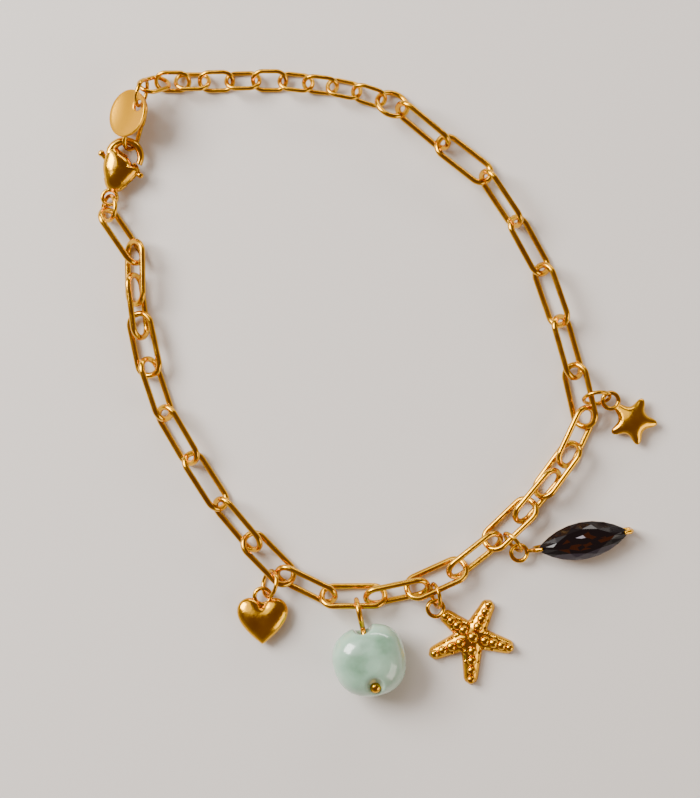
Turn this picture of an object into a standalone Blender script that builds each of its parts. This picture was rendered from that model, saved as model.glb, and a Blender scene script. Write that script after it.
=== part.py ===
"""Charm bracelet, lying closed on a flat surface.

A paperclip chain and a short extender of oval links are closed by a lobster clasp.
Five charms hang from the chain: a heart, a drilled stone on a headpin, a starfish,
a long pointed stone in a claw setting, and a small star. A bare round tag hangs by the clasp.
Metres, +Z up, the surface is the plane z = 0.
"""
import math
from collections import namedtuple

import bmesh
import bpy
from mathutils import Matrix, Vector

MM = 0.001
UP = Vector((0.0, 0.0, 1.0))

# Wire loops: outer length, outer width and wire diameter.
Loop = namedtuple("Loop", "length width wire")

LINK_LENGTH = 8.5 * MM
LINK_WIDTH = 3.75 * MM
LINK_WIRE = 0.75 * MM
EXTENDER_LINK_LENGTH = 4.65 * MM
EXTENDER_LINK_WIDTH = 3.1 * MM
EXTENDER_WIRE = 0.55 * MM
EXTENDER_RING_DIAMETER = 4.5 * MM
EXTENDER_RING_WIRE = 0.66 * MM
CLASP_RING_DIAMETER = 3.6 * MM
CLASP_RING_WIRE = 0.55 * MM
TAG_RING_DIAMETER = 3.7 * MM
TAG_RING_WIRE = 0.5 * MM

# Clear space left between two pieces that hold each other.
HOLD_GAP = 0.26 * MM
# Clear space where one piece lies on another.
REST_GAP = 0.12 * MM

# Sides of a meshed loop, round its path and round its wire.
PATH_SIDES = 12
WIRE_SIDES = 5

# The route of the whole chain, from the clasp's tail round to its hook, in millimetres.
ROUTE = [
    (-33.1, 22.7), (-33.3, 20.47), (-30.0, 18.1), (-29.9, 11.3), (-29.0, 4.4), (-26.8, -3.1),
    (-23.5, -8.8), (-19.8, -14.8), (-15.4, -20.1), (-11.4, -24.2), (-6.1, -27.0), (-0.4, -27.1),
    (4.9, -26.1), (10.1, -23.8), (14.9, -20.0), (19.9, -15.2), (23.5, -10.5), (26.1, -6.5),
    (26.7, -3.1), (25.0, 1.3), (23.3, 7.4), (21.1, 13.8), (17.6, 20.2), (13.9, 25.7),
    (8.6, 29.8), (4.8, 33.3), (1.9, 34.9), (-3.6, 36.7), (-12.1, 37.7), (-21.5, 37.5),
    (-26.9, 37.5), (-28.5, 37.0), (-29.7, 32.9), (-30.6, 29.8),
]

# One row for each chain link: how far it is pulled out (share of taut), and its roll in degrees.
CHAIN_LINKS = [
    (0.95, -55), (0.62, 48), (0.62, -62), (0.80, 24), (0.90, -54),
    (0.97, 45), (1.00, -45), (0.98, 50), (0.72, -28), (0.98, 48),
    (0.86, -40), (0.75, 50), (0.79, -28), (0.87, 50), (0.86, -28),
    (0.57, 50), (0.64, -45), (0.78, 42), (0.86, -34), (1.00, 48),
    (1.00, -47), (1.00, 44), (1.00, -64), (1.00, 26), (0.95, -62),
]
# The same for the extender links between the two rings, and for the two that reach the hook.
EXTENDER_LINKS = [
    (1.00, -47), (0.95, 36), (0.85, -50), (1.00, 34), (1.00, -34),
    (1.00, 36), (1.00, -36), (0.80, 38), (0.68, -38), (0.82, 36),
]
HOOK_LINKS = [(0.78, 40), (0.88, -59)]
CLASP_RING_ROW = (1.00, 55)
EXTENDER_RING_ROW = (1.00, 39)
TAG_RING_ROW = (0.64, -76)

# Lobster clasp, in its own plane: +Y towards the hook, +X to the gate, thickness along Z.
CLASP_THICKNESS = 2.8 * MM
HOOK_THICKNESS = 0.7 * MM
HOOK_OUTER_RADIUS = 2.3 * MM
HOOK_INNER_RADIUS = 1.55 * MM
HOOK_CENTRE_Y = 1.9 * MM
CLASP_NECK_Y = -2.7 * MM
CLASP_NECK_HALF = 0.75 * MM
TAIL_Y = -3.5 * MM
TAIL_RADIUS = 1.08 * MM
TAIL_HOLE_RADIUS = 0.72 * MM
TAIL_THICKNESS = 0.7 * MM
WINDOW_FLOOR_Y = 0.75 * MM
CLASP_EDGE_ROUND = 0.35 * MM
SLOT_CLEARANCE = 0.15 * MM
LEVER_THICKNESS = 0.8 * MM
LEVER_REACH = 2.38 * MM
LEVER_HUB_RADIUS = 0.75 * MM
PIVOT_X = 0.4 * MM
PIVOT_Y = -0.5 * MM
PIVOT_PIN_RADIUS = 0.35 * MM
PIVOT_CLEARANCE = 0.14 * MM
TRIGGER_REACH = 3.7 * MM
TRIGGER_RADIUS = 0.42 * MM
TRIGGER_ARM_HALF = 0.3 * MM
TRIGGER_ANGLE = 152.0
GATE_FROM_ANGLE = 37.0
GATE_TO_ANGLE = 60.0
LEVER_OPENING = 25.0

# Tag: a bare round disc that leans on the links beneath it.
TAG_DIAMETER = 6.0 * MM
TAG_THICKNESS = 0.45 * MM
TAG_HOLE_DIAMETER = 1.35 * MM
TAG_HOLE_FROM_EDGE = 1.16 * MM
TAG_HOLE_TURN = 40.0
TAG_TILT = 40.0
TAG_LIFT = 1.1 * MM
TAG_RAISED_HEADING = -15.0
TAG_SIDES = 28

# Soldered loops on the charms.
CHARM_LOOP_DIAMETER = 2.3 * MM
CHARM_LOOP_WIRE = 0.42 * MM

# Jump rings: diameter and wire.
HEART_RING_DIAMETER = 3.6 * MM
STAR_RING_DIAMETER = 3.6 * MM
STARFISH_RING_DIAMETER = 3.3 * MM
MARQUISE_RING_DIAMETER = 3.2 * MM
JUMP_RING_WIRE = 0.42 * MM

HEART_WIDTH = 6.3 * MM
HEART_HEIGHT = 5.8 * MM
HEART_THICKNESS = 2.2 * MM
HEART_SIDES = 24
HEART_NECK = 0.5 * MM

STAR_TIP_RADIUS = 2.9 * MM
STAR_INNER_RADIUS = 1.65 * MM
STAR_THICKNESS = 1.9 * MM
STAR_LOOP_HEIGHT = 1.15 * MM

STARFISH_RADIUS = 6.0 * MM
STARFISH_THICKNESS = 1.6 * MM
STARFISH_LOOP_HEIGHT = 1.1 * MM
STARFISH_NECK = 0.5 * MM
STARFISH_ROOT_HALF = 1.5 * MM
STARFISH_TIP_HALF = 0.72 * MM
STARFISH_KNOB = 0.46 * MM
# One row for each arm: its turn from the arm that carries the loop, and its share of the radius.
STARFISH_ARMS = [(0.0, 0.80), (61.5, 0.98), (125.5, 1.0), (201.0, 0.90), (280.3, 0.84)]
# Knobs along an arm: place as a share of the arm, size as a share of the largest knob.
STARFISH_KNOBS = [(0.28, 1.0), (0.47, 0.9), (0.66, 0.82), (0.84, 0.72)]

NUGGET_WIDTH = 9.2 * MM
NUGGET_LENGTH = 9.0 * MM
NUGGET_HEIGHT = 6.2 * MM
NUGGET_SIDES = 18
NUGGET_BORE_CLEARANCE = 0.2 * MM
HEADPIN_WIRE = 0.65 * MM
HEADPIN_EYE_DIAMETER = 4.0 * MM
HEADPIN_BALL_DIAMETER = 1.5 * MM
HEADPIN_STEM_LENGTH = 7.6 * MM
HEADPIN_STEM_RISE = 12.0

MARQUISE_LENGTH = 11.6 * MM
MARQUISE_WIDTH = 4.6 * MM
MARQUISE_GIRDLE = 0.3 * MM
MARQUISE_CROWN = 1.0 * MM
MARQUISE_PAVILION = 0.9 * MM
MARQUISE_TABLE_SHARE = 0.55
MARQUISE_FACETS = 8
SETTING_PLATE_SHARE = 0.86
SETTING_PLATE_THICKNESS = 0.6 * MM
SETTING_LOOP_HEIGHT = 1.1 * MM
SETTING_NECK = 0.5 * MM
SETTING_SEAT_GAP = 0.2 * MM
CLAW_WIDTH = 1.2 * MM
CLAW_THICKNESS = 0.5 * MM
CLAW_OVERLAP = 1.1 * MM
CLAW_COVER = 0.4 * MM

# Where the charms hang: chain link, place along its half length (share), heading of the jump
# ring and of the charm in degrees, and the ring's roll.
Hanging = namedtuple("Hanging", "link share ring_heading charm_heading roll")
HEART_HANGING = Hanging(9, 0.54, -120.0, -90.0, 55.0)
STONE_HANGING = Hanging(11, 0.18, -88.0, -77.5, 90.0)
STARFISH_HANGING = Hanging(13, -0.18, -90.0, -37.5, 70.0)
MARQUISE_HANGING = Hanging(15, -0.30, -60.0, 11.3, 70.0)
STAR_HANGING = Hanging(19, -0.12, -10.0, -42.0, 60.0)


def clear_scene():
    for old in list(bpy.data.objects):
        bpy.data.objects.remove(old, do_unlink=True)


def make_material(name, colour, roughness, metallic):
    material = bpy.data.materials.new(name)
    material.use_nodes = True
    shader = material.node_tree.nodes["Principled BSDF"]
    shader.inputs["Base Color"].default_value = (*colour, 1.0)
    shader.inputs["Roughness"].default_value = roughness
    shader.inputs["Metallic"].default_value = metallic
    return material


def add_object(name, mesh, material, parent, matrix=None):
    body = bpy.data.objects.new(name, mesh)
    bpy.context.collection.objects.link(body)
    if not mesh.materials:
        mesh.materials.append(material)
    if matrix is not None:
        body.location = matrix.to_translation()
        body.rotation_euler = matrix.to_euler()
    body.parent = parent
    return body


def mesh_from(bm, name):
    bmesh.ops.recalc_face_normals(bm, faces=bm.faces[:])
    mesh = bpy.data.meshes.new(name)
    bm.to_mesh(mesh)
    bm.free()
    mesh.shade_smooth()
    mesh.set_sharp_from_angle(angle=math.radians(40.0))
    return mesh


def helper(name, mesh, body):
    """An object that shapes another one and is no piece of the bracelet."""
    tool = bpy.data.objects.new(name, mesh)
    bpy.context.collection.objects.link(tool)
    tool.location = body.location
    tool.rotation_euler = body.rotation_euler
    tool.parent = body.parent
    tool.hide_render = True
    tool.display_type = "WIRE"
    return tool


def combine(body, name, mesh, operation):
    modifier = body.modifiers.new(name, "BOOLEAN")
    modifier.operation = operation
    modifier.object = helper(body.name + "." + name, mesh, body)


def heading(degrees):
    return Vector((math.cos(math.radians(degrees)), math.sin(math.radians(degrees)), 0.0))


def frame_matrix(centre, along, roll):
    """X runs along the piece; Y starts level, to the left, and is rolled up by the roll."""
    along = along.normalized()
    level = UP.cross(along).normalized()
    above = along.cross(level)
    turn = math.radians(roll)
    across = level * math.cos(turn) + above * math.sin(turn)
    normal = along.cross(across)
    matrix = Matrix((along, across, normal)).transposed().to_4x4()
    matrix.translation = centre
    return matrix


def loop_path(loop):
    """The centreline of a wire loop, closed, with the direction that points out of it."""
    radius = (loop.width - loop.wire) / 2
    half = (loop.length - loop.width) / 2
    if half <= 0.0:
        turns = [2 * math.pi * (i + 0.5) / PATH_SIDES for i in range(PATH_SIDES)]
        outs = [Vector((math.cos(a), math.sin(a), 0.0)) for a in turns]
        return [(out * radius, out) for out in outs]
    path = []
    steps = PATH_SIDES // 2 - 1
    for end in (1, -1):
        for i in range(steps + 1):
            angle = -math.pi / 2 + math.pi * i / steps
            out = Vector((math.cos(angle), math.sin(angle), 0.0)) * end
            path.append((Vector((half * end, 0.0, 0.0)) + out * radius, out))
    return path


def loop_mesh(name, loop, offset=Vector((0.0, 0.0, 0.0))):
    bm = bmesh.new()
    rings = []
    for place, out in loop_path(loop):
        ring = []
        for side in range(WIRE_SIDES):
            angle = 2 * math.pi * side / WIRE_SIDES
            section = out * math.cos(angle) + UP * math.sin(angle)
            ring.append(bm.verts.new(offset + place + section * loop.wire / 2))
        rings.append(ring)
    for ring, following in zip(rings, rings[1:] + rings[:1]):
        for side in range(WIRE_SIDES):
            other = (side + 1) % WIRE_SIDES
            bm.faces.new((ring[side], following[side], following[other], ring[other]))
    return mesh_from(bm, name)


def prism_mesh(name, outline, low, high, rounding=0.0):
    """A flat outline given a thickness, with its two rims rounded off if wanted."""
    bm = bmesh.new()
    base = bm.faces.new([bm.verts.new((x, y, low)) for x, y in outline])
    raised = bmesh.ops.extrude_face_region(bm, geom=[base])["geom"]
    top = [item for item in raised if isinstance(item, bmesh.types.BMVert)]
    bmesh.ops.translate(bm, verts=top, vec=(0.0, 0.0, high - low))
    if rounding > 0.0:
        rims = [e for e in bm.edges if abs(e.verts[0].co.z - e.verts[1].co.z) < (high - low) / 2]
        bmesh.ops.bevel(bm, geom=rims, offset=rounding, segments=1, affect="EDGES")
    bmesh.ops.triangulate(bm, faces=[f for f in bm.faces if len(f.verts) > 4])
    return mesh_from(bm, name)


def arc(centre, radius, start, end, steps):
    """Points of an arc, angles in degrees."""
    points = []
    for i in range(steps + 1):
        angle = math.radians(start + (end - start) * i / steps)
        points.append((centre[0] + radius * math.cos(angle), centre[1] + radius * math.sin(angle)))
    return points


def disc_outline(centre, radius, sides):
    return arc(centre, radius, 0.0, 360.0 * (sides - 1) / sides, sides - 1)


def pillow_mesh(name, outline, centre, half_height, profile, shape=None):
    """A puffed body: the outline shrinks towards its centre as it rises, above and below."""
    bm = bmesh.new()
    levels = [(scale, -rise) for scale, rise in reversed(profile[1:])] + profile
    rings = []
    for scale, rise in levels:
        ring = []
        for x, y in outline:
            px = centre[0] + (x - centre[0]) * scale
            py = centre[1] + (y - centre[1]) * scale
            ring.append(bm.verts.new((px, py, rise * half_height)))
        rings.append(ring)
    low_pole = bm.verts.new((centre[0], centre[1], -half_height))
    high_pole = bm.verts.new((centre[0], centre[1], half_height))
    count = len(outline)
    for i in range(count):
        j = (i + 1) % count
        bm.faces.new((low_pole, rings[0][j], rings[0][i]))
        bm.faces.new((high_pole, rings[-1][i], rings[-1][j]))
        for below, above in zip(rings, rings[1:]):
            bm.faces.new((below[i], below[j], above[j], above[i]))
    if shape is not None:
        for vert in bm.verts:
            vert.co = shape(vert.co)
    return mesh_from(bm, name)


PUFFED = [(1.0, 0.0), (0.93, 0.40), (0.76, 0.74), (0.45, 0.94)]


class Route:
    """The chain's route as a closed line that is scaled to hold all the pieces on it."""

    def __init__(self, points, wanted_length):
        corners = [Vector((x, y, 0.0)) for x, y in points]
        corners.append(corners[0])
        length = sum((b - a).length for a, b in zip(corners, corners[1:]))
        self.corners = [corner * (wanted_length / length) for corner in corners]

    def at(self, distance):
        for a, b in zip(self.corners, self.corners[1:]):
            step = (b - a).length
            if distance <= step:
                return a.lerp(b, distance / step)
            distance -= step
        return self.corners[-1].copy()


def taut_pitch(loop):
    return loop.length - 2 * loop.wire - HOLD_GAP


def reach(wire):
    """How far a loop's wire lies past the point where two pieces hold each other."""
    return (wire + HOLD_GAP) / 2


def tag_hole_offset():
    """The hole's place on the disc: along the raised direction, and level across it."""
    from_centre = TAG_DIAMETER / 2 - TAG_HOLE_FROM_EDGE
    turn = math.radians(TAG_HOLE_TURN)
    return from_centre * math.cos(turn), from_centre * math.sin(turn)


def tag_hole_height():
    tilt = math.radians(TAG_TILT)
    centre = TAG_DIAMETER / 2 * math.sin(tilt) + TAG_THICKNESS / 2 * math.cos(tilt)
    return TAG_LIFT + centre + tag_hole_offset()[0] * math.sin(tilt)


def hook_seat():
    """The place along the clasp where the wire of the last link lies."""
    return HOOK_CENTRE_Y + HOOK_INNER_RADIUS - EXTENDER_WIRE / 2 - HOLD_GAP


def clasp_pitch():
    """From the point where the clasp's ring is held to the point where the last link is held."""
    return hook_seat() + reach(EXTENDER_WIRE) - TAIL_Y + reach(CLASP_RING_WIRE)


class Held:
    """One loop of the chain, with the heights of its two ends worked out from its neighbours."""

    def __init__(self, name, loop, row, height=None):
        self.name = name
        self.loop = loop
        self.pitch = taut_pitch(loop) * row[0]
        self.roll = row[1]
        spread = (loop.width - loop.wire) / 2 * abs(math.sin(math.radians(row[1])))
        self.rest = spread + loop.wire / 2 if height is None else height
        self.floor = self.rest - spread + loop.wire / 2
        self.start = None
        self.end = None

    def end_height(self, neighbour):
        if neighbour is None:
            return self.rest
        climb = neighbour.floor + self.loop.wire / 2 + REST_GAP
        return max(self.rest, min(neighbour.rest, climb))

    def matrix(self):
        return frame_matrix((self.start + self.end) / 2, self.end - self.start, self.roll)

    def outer_wire(self, share):
        """A point of the wire on the loop's outer side, also where it curves round the end."""
        half = (self.loop.length - self.loop.width) / 2
        side = (self.loop.width - self.loop.wire) / 2
        along = share * (half + side)
        past = max(abs(along) - half, 0.0)
        return self.matrix() @ Vector((along, -math.sqrt(side * side - past * past), 0.0))


def chain_order():
    link = Loop(LINK_LENGTH, LINK_WIDTH, LINK_WIRE)
    oval = Loop(EXTENDER_LINK_LENGTH, EXTENDER_LINK_WIDTH, EXTENDER_WIRE)
    joining = Loop(EXTENDER_RING_DIAMETER, EXTENDER_RING_DIAMETER, EXTENDER_RING_WIRE)
    clasp_ring = Loop(CLASP_RING_DIAMETER, CLASP_RING_DIAMETER, CLASP_RING_WIRE)
    tag_ring = Loop(TAG_RING_DIAMETER, TAG_RING_DIAMETER, TAG_RING_WIRE)
    order = [Held("clasp_ring", clasp_ring, CLASP_RING_ROW)]
    for number, row in enumerate(CHAIN_LINKS, 1):
        order.append(Held(f"chain_link_{number:02d}", link, row))
    order.append(Held("extender_ring", joining, EXTENDER_RING_ROW))
    for number, row in enumerate(EXTENDER_LINKS, 1):
        order.append(Held(f"extender_link_{number:02d}", oval, row))
    order.append(Held("tag_ring", tag_ring, TAG_RING_ROW, tag_hole_height()))
    for number, row in enumerate(HOOK_LINKS, len(EXTENDER_LINKS) + 1):
        order.append(Held(f"extender_link_{number:02d}", oval, row))
    return order


def lay_chain(order):
    """Puts every loop on the route, one after the other."""
    route = Route(ROUTE, sum(piece.pitch for piece in order) + clasp_pitch())
    distance = 0.0
    neighbours = [None] + order + [None]
    for index, piece in enumerate(order):
        before, after = neighbours[index], neighbours[index + 2]
        piece.start = route.at(distance) + UP * piece.end_height(before)
        distance += piece.pitch
        piece.end = route.at(distance) + UP * piece.end_height(after)


def make_chain(order, gold, parent):
    meshes = {}
    for piece in order:
        if piece.loop not in meshes:
            meshes[piece.loop] = loop_mesh("loop", piece.loop)
        add_object(piece.name, meshes[piece.loop], gold, parent, piece.matrix())


def clasp_body_outline():
    """The thick part: a wedge from the tail's neck up to the window, with the hook's root."""
    left = -HOOK_OUTER_RADIUS
    right = HOOK_OUTER_RADIUS
    neck = CLASP_NECK_HALF
    waist = (CLASP_NECK_Y + WINDOW_FLOOR_Y) / 2
    root = HOOK_CENTRE_Y + 0.5 * HOOK_OUTER_RADIUS * 0.4
    return [
        (-neck, CLASP_NECK_Y), (neck, CLASP_NECK_Y), (right * 0.68, waist),
        (right * 0.93, WINDOW_FLOOR_Y * -0.3), (right, WINDOW_FLOOR_Y * 0.4),
        (right * 0.6, WINDOW_FLOOR_Y * 0.9), (left * 0.34, WINDOW_FLOOR_Y * 1.05),
        (-HOOK_INNER_RADIUS * 0.94, WINDOW_FLOOR_Y * 1.5), (-HOOK_INNER_RADIUS, HOOK_CENTRE_Y),
        (-HOOK_INNER_RADIUS, root), (left * 0.98, root), (left, HOOK_CENTRE_Y),
        (left, WINDOW_FLOOR_Y), (left * 0.93, WINDOW_FLOOR_Y * -0.3), (left * 0.68, waist),
    ]


def hook_outline():
    centre = (0.0, HOOK_CENTRE_Y)
    outer = arc(centre, HOOK_OUTER_RADIUS, -16.0, 183.0, 14)
    inner = arc(centre, HOOK_INNER_RADIUS, 183.0, -2.0, 12)
    return outer + inner


def from_pivot(radius, degrees):
    angle = math.radians(degrees)
    return PIVOT_X + radius * math.cos(angle), PIVOT_Y + radius * math.sin(angle)


def slot_outline():
    """The space that the lever sweeps, open to both sides of the clasp."""
    outside = HOOK_OUTER_RADIUS * 1.5
    gate = LEVER_REACH + 0.8 * SLOT_CLEARANCE
    under_hub = PIVOT_Y - LEVER_HUB_RADIUS - 2 * SLOT_CLEARANCE
    trigger_side = TRIGGER_RADIUS + SLOT_CLEARANCE
    top = from_pivot(TRIGGER_REACH, TRIGGER_ANGLE)[1] + trigger_side
    low = from_pivot(TRIGGER_REACH, TRIGGER_ANGLE + LEVER_OPENING)[1] - trigger_side
    points = [(-outside, top)]
    points += [from_pivot(gate, degrees) for degrees in (72.0, 60.0, 48.0, 36.0, 24.0, 12.0)]
    points += [(outside, PIVOT_Y), (outside, PIVOT_Y - SLOT_CLEARANCE)]
    points += [(HOOK_OUTER_RADIUS * 0.5, under_hub), (HOOK_OUTER_RADIUS * -0.2, under_hub)]
    points += [(-outside, low)]
    return points


def clasp_matrix(ring, hook_link):
    """The clasp lies flat, aimed from its ring to the link that its hook holds."""
    ring_wire = ring.matrix() @ Vector(((ring.loop.wire - ring.loop.width) / 2, 0.0, 0.0))
    link_wire = hook_link.matrix() @ Vector(((hook_link.loop.length - hook_link.loop.wire) / 2, 0.0, 0.0))
    axis = link_wire - ring_wire
    turn = math.atan2(axis.y, axis.x) - math.pi / 2
    place = Vector((link_wire.x, link_wire.y, CLASP_THICKNESS / 2))
    turned = Matrix.Translation(place) @ Matrix.Rotation(turn, 4, "Z")
    return turned @ Matrix.Translation((0.0, -hook_seat(), 0.0))


def make_clasp(matrix, gold, parent):
    """The thick body with its hook, tail and pivot pin, and the lever that closes the hook."""
    middle = CLASP_THICKNESS / 2
    body_mesh = prism_mesh("clasp_body", clasp_body_outline(), -middle, middle, CLASP_EDGE_ROUND)
    body = add_object("clasp_body", body_mesh, gold, parent, matrix)
    half = HOOK_THICKNESS / 2
    combine(body, "hook", prism_mesh("hook", hook_outline(), -half, half), "UNION")
    half = TAIL_THICKNESS / 2
    tail = prism_mesh("tail", disc_outline((0.0, TAIL_Y), TAIL_RADIUS, 16), -half, half)
    combine(body, "tail", tail, "UNION")
    hole = disc_outline((0.0, TAIL_Y), TAIL_HOLE_RADIUS, 12)
    combine(body, "tail_hole", prism_mesh("hole", hole, -middle * 2, middle * 2), "DIFFERENCE")
    half = LEVER_THICKNESS / 2 + SLOT_CLEARANCE
    combine(body, "slot", prism_mesh("slot", slot_outline(), -half, half), "DIFFERENCE")
    pin = disc_outline((PIVOT_X, PIVOT_Y), PIVOT_PIN_RADIUS, 10)
    half = (half + middle) / 2
    combine(body, "pin", prism_mesh("pin", pin, -half, half), "UNION")

    hub = arc((0.0, 0.0), LEVER_HUB_RADIUS, TRIGGER_ANGLE + 30.0, 360.0 + GATE_FROM_ANGLE - 45.0, 8)
    gate = arc((0.0, 0.0), LEVER_REACH, GATE_FROM_ANGLE, GATE_TO_ANGLE, 4)
    toward = heading(TRIGGER_ANGLE)
    across = Vector((-toward.y, toward.x, 0.0)) * TRIGGER_ARM_HALF
    start = toward * LEVER_HUB_RADIUS
    finish = toward * (TRIGGER_REACH - TRIGGER_RADIUS)
    crook = arc((0.0, 0.0), LEVER_HUB_RADIUS, GATE_TO_ANGLE + 25.0, GATE_TO_ANGLE + 45.0, 2)
    arm = [start - across, finish - across]
    arm_back = [finish + across, start + across]
    thumb = arc((toward * TRIGGER_REACH)[:2], TRIGGER_RADIUS, TRIGGER_ANGLE - 130.0,
                TRIGGER_ANGLE + 130.0, 8)
    outline = hub + gate + crook + [p[:2] for p in arm] + thumb + [p[:2] for p in arm_back]
    half = LEVER_THICKNESS / 2
    lever_matrix = matrix @ Matrix.Translation((PIVOT_X, PIVOT_Y, 0.0))
    lever_mesh = prism_mesh("clasp_lever", outline, -half, half)
    lever = add_object("clasp_lever", lever_mesh, gold, parent, lever_matrix)
    bore = disc_outline((0.0, 0.0), PIVOT_PIN_RADIUS + PIVOT_CLEARANCE, 12)
    combine(lever, "bore", prism_mesh("bore", bore, -middle, middle), "DIFFERENCE")


def make_tag(tag_ring, gold, parent):
    """The disc hangs by its hole on the tag ring, with its far rim down on the surface."""
    ring_radius = (tag_ring.loop.width - tag_ring.loop.wire) / 2
    hole = tag_ring.matrix() @ Vector((ring_radius, 0.0, 0.0))
    hole.z = tag_hole_height()
    tilt = math.radians(TAG_TILT)
    level = heading(TAG_RAISED_HEADING)
    raised = level * math.cos(tilt) + UP * math.sin(tilt)
    across = UP.cross(level)
    along, aside = tag_hole_offset()
    centre = hole - raised * along - across * aside
    normal = raised.cross(across)
    matrix = Matrix((raised, across, normal)).transposed().to_4x4()
    matrix.translation = centre
    half = TAG_THICKNESS / 2
    outline = disc_outline((0.0, 0.0), TAG_DIAMETER / 2, TAG_SIDES)
    disc = add_object("tag_disc", prism_mesh("tag_disc", outline, -half, half), gold, parent, matrix)
    bore = disc_outline((along, aside), TAG_HOLE_DIAMETER / 2, 12)
    combine(disc, "hole", prism_mesh("hole", bore, -2 * half, 2 * half), "DIFFERENCE")


def ring_pose(link, hanging, diameter, loop_height):
    """Where a jump ring lies, and the point of the charm's loop that it holds."""
    wire_place = link.outer_wire(hanging.share)
    inside = (diameter - JUMP_RING_WIRE) / 2 * math.cos(math.pi / PATH_SIDES) - JUMP_RING_WIRE / 2
    to_wire = inside - LINK_WIRE / 2 - REST_GAP
    to_loop = inside - CHARM_LOOP_WIRE / 2 - REST_GAP
    span = to_wire + to_loop
    drop = wire_place.z - loop_height
    level = math.sqrt(max(span * span - drop * drop, 0.0))
    loop_wire = wire_place + heading(hanging.ring_heading) * level - UP * drop
    middle = wire_place.lerp(loop_wire, to_wire / span)
    return frame_matrix(middle, loop_wire - wire_place, hanging.roll), loop_wire


def hang_ring(name, hanging, order, diameter, loop_height, gold, parent):
    """A jump ring round a link's outer wire; returns the middle of the charm's loop."""
    matrix, loop_wire = ring_pose(order[hanging.link], hanging, diameter, loop_height)
    ring = Loop(diameter, diameter, JUMP_RING_WIRE)
    add_object(name, loop_mesh(name, ring), gold, parent, matrix)
    radius = (CHARM_LOOP_DIAMETER - CHARM_LOOP_WIRE) / 2
    return loop_wire + heading(hanging.ring_heading) * radius


def charm_matrix(loop_middle, degrees, height):
    """The charm's loop is at its origin and the charm runs along its own +X."""
    place = Vector((loop_middle.x, loop_middle.y, height))
    return Matrix.Translation(place) @ Matrix.Rotation(math.radians(degrees), 4, "Z")


def solder_loop(body, rise=0.0, neck=0.0):
    """A wire loop at the charm's origin, with a short neck where the body begins further off."""
    loop = Loop(CHARM_LOOP_DIAMETER, CHARM_LOOP_DIAMETER, CHARM_LOOP_WIRE)
    combine(body, "loop", loop_mesh("loop", loop, UP * rise), "UNION")
    if neck > 0.0:
        start = Vector((charm_start(), 0.0, rise))
        finish = start + Vector((neck + CHARM_LOOP_WIRE / 2, 0.0, 0.0))
        rod = rod_mesh("neck", start, finish, CHARM_LOOP_WIRE / 2, 8)
        combine(body, "neck", rod, "UNION")


def charm_start():
    """Where a charm's own body begins, seen from the middle of its loop."""
    return CHARM_LOOP_DIAMETER / 2 - CHARM_LOOP_WIRE * 0.4


def heart_outline():
    """The classic heart curve, notch towards the loop and point away from it."""
    points = []
    for i in range(HEART_SIDES):
        t = 2 * math.pi * i / HEART_SIDES
        across = 16 * math.sin(t) ** 3
        down = 13 * math.cos(t) - 5 * math.cos(2 * t) - 2 * math.cos(3 * t) - math.cos(4 * t)
        points.append((across / 32, down / 29))
    notch = points[0][1]
    start = charm_start() + HEART_NECK
    return [((notch - y) * HEART_HEIGHT + start, x * HEART_WIDTH) for x, y in points]


def make_heart(order, gold, parent):
    height = HEART_THICKNESS / 2
    middle = hang_ring("heart_jump_ring", HEART_HANGING, order, HEART_RING_DIAMETER, height,
                       gold, parent)
    centre = (charm_start() + HEART_NECK + HEART_HEIGHT * 0.36, 0.0)
    mesh = pillow_mesh("heart_charm", heart_outline(), centre, height, PUFFED)
    matrix = charm_matrix(middle, HEART_HANGING.charm_heading, height)
    solder_loop(add_object("heart_charm", mesh, gold, parent, matrix), neck=HEART_NECK)


def star_outline(centre_x):
    points = []
    for i in range(10):
        radius = STAR_TIP_RADIUS if i % 2 == 0 else STAR_INNER_RADIUS
        for turn in ((-0.16, 0.16) if i % 2 == 0 else (0.0,)):
            angle = math.pi + math.pi * (i + turn) / 5
            points.append((centre_x + radius * math.cos(angle), radius * math.sin(angle)))
    return points


def make_star(order, gold, parent):
    height = STAR_THICKNESS / 2
    middle = hang_ring("star_jump_ring", STAR_HANGING, order, STAR_RING_DIAMETER,
                       STAR_LOOP_HEIGHT, gold, parent)
    centre_x = charm_start() + STAR_TIP_RADIUS * 0.95
    mesh = pillow_mesh("star_charm", star_outline(centre_x), (centre_x, 0.0), height, PUFFED)
    matrix = charm_matrix(middle, STAR_HANGING.charm_heading, height)
    solder_loop(add_object("star_charm", mesh, gold, parent, matrix), STAR_LOOP_HEIGHT - height)


def starfish_outline():
    """Five tapered arms with round ends; the first arm points back to the loop."""
    points = []
    for number, (turn, share) in enumerate(STARFISH_ARMS):
        angle = math.radians(180.0 + turn)
        outward = Vector((math.cos(angle), math.sin(angle)))
        across = Vector((-outward.y, outward.x))
        length = STARFISH_RADIUS * share - STARFISH_TIP_HALF
        for shift in (-1.0, -0.62, 0.62, 1.0):
            round_off = STARFISH_TIP_HALF * (0.8 if abs(shift) < 1.0 else 0.0)
            points.append(outward * (length + round_off) + across * STARFISH_TIP_HALF * shift)
        following = STARFISH_ARMS[(number + 1) % len(STARFISH_ARMS)][0]
        gap = (following - turn) % 360.0
        crotch = math.radians(180.0 + turn + gap / 2)
        depth = STARFISH_ROOT_HALF / math.sin(math.radians(gap / 2))
        points.append(Vector((math.cos(crotch), math.sin(crotch))) * depth)
    return [tuple(point) for point in points]


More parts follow.
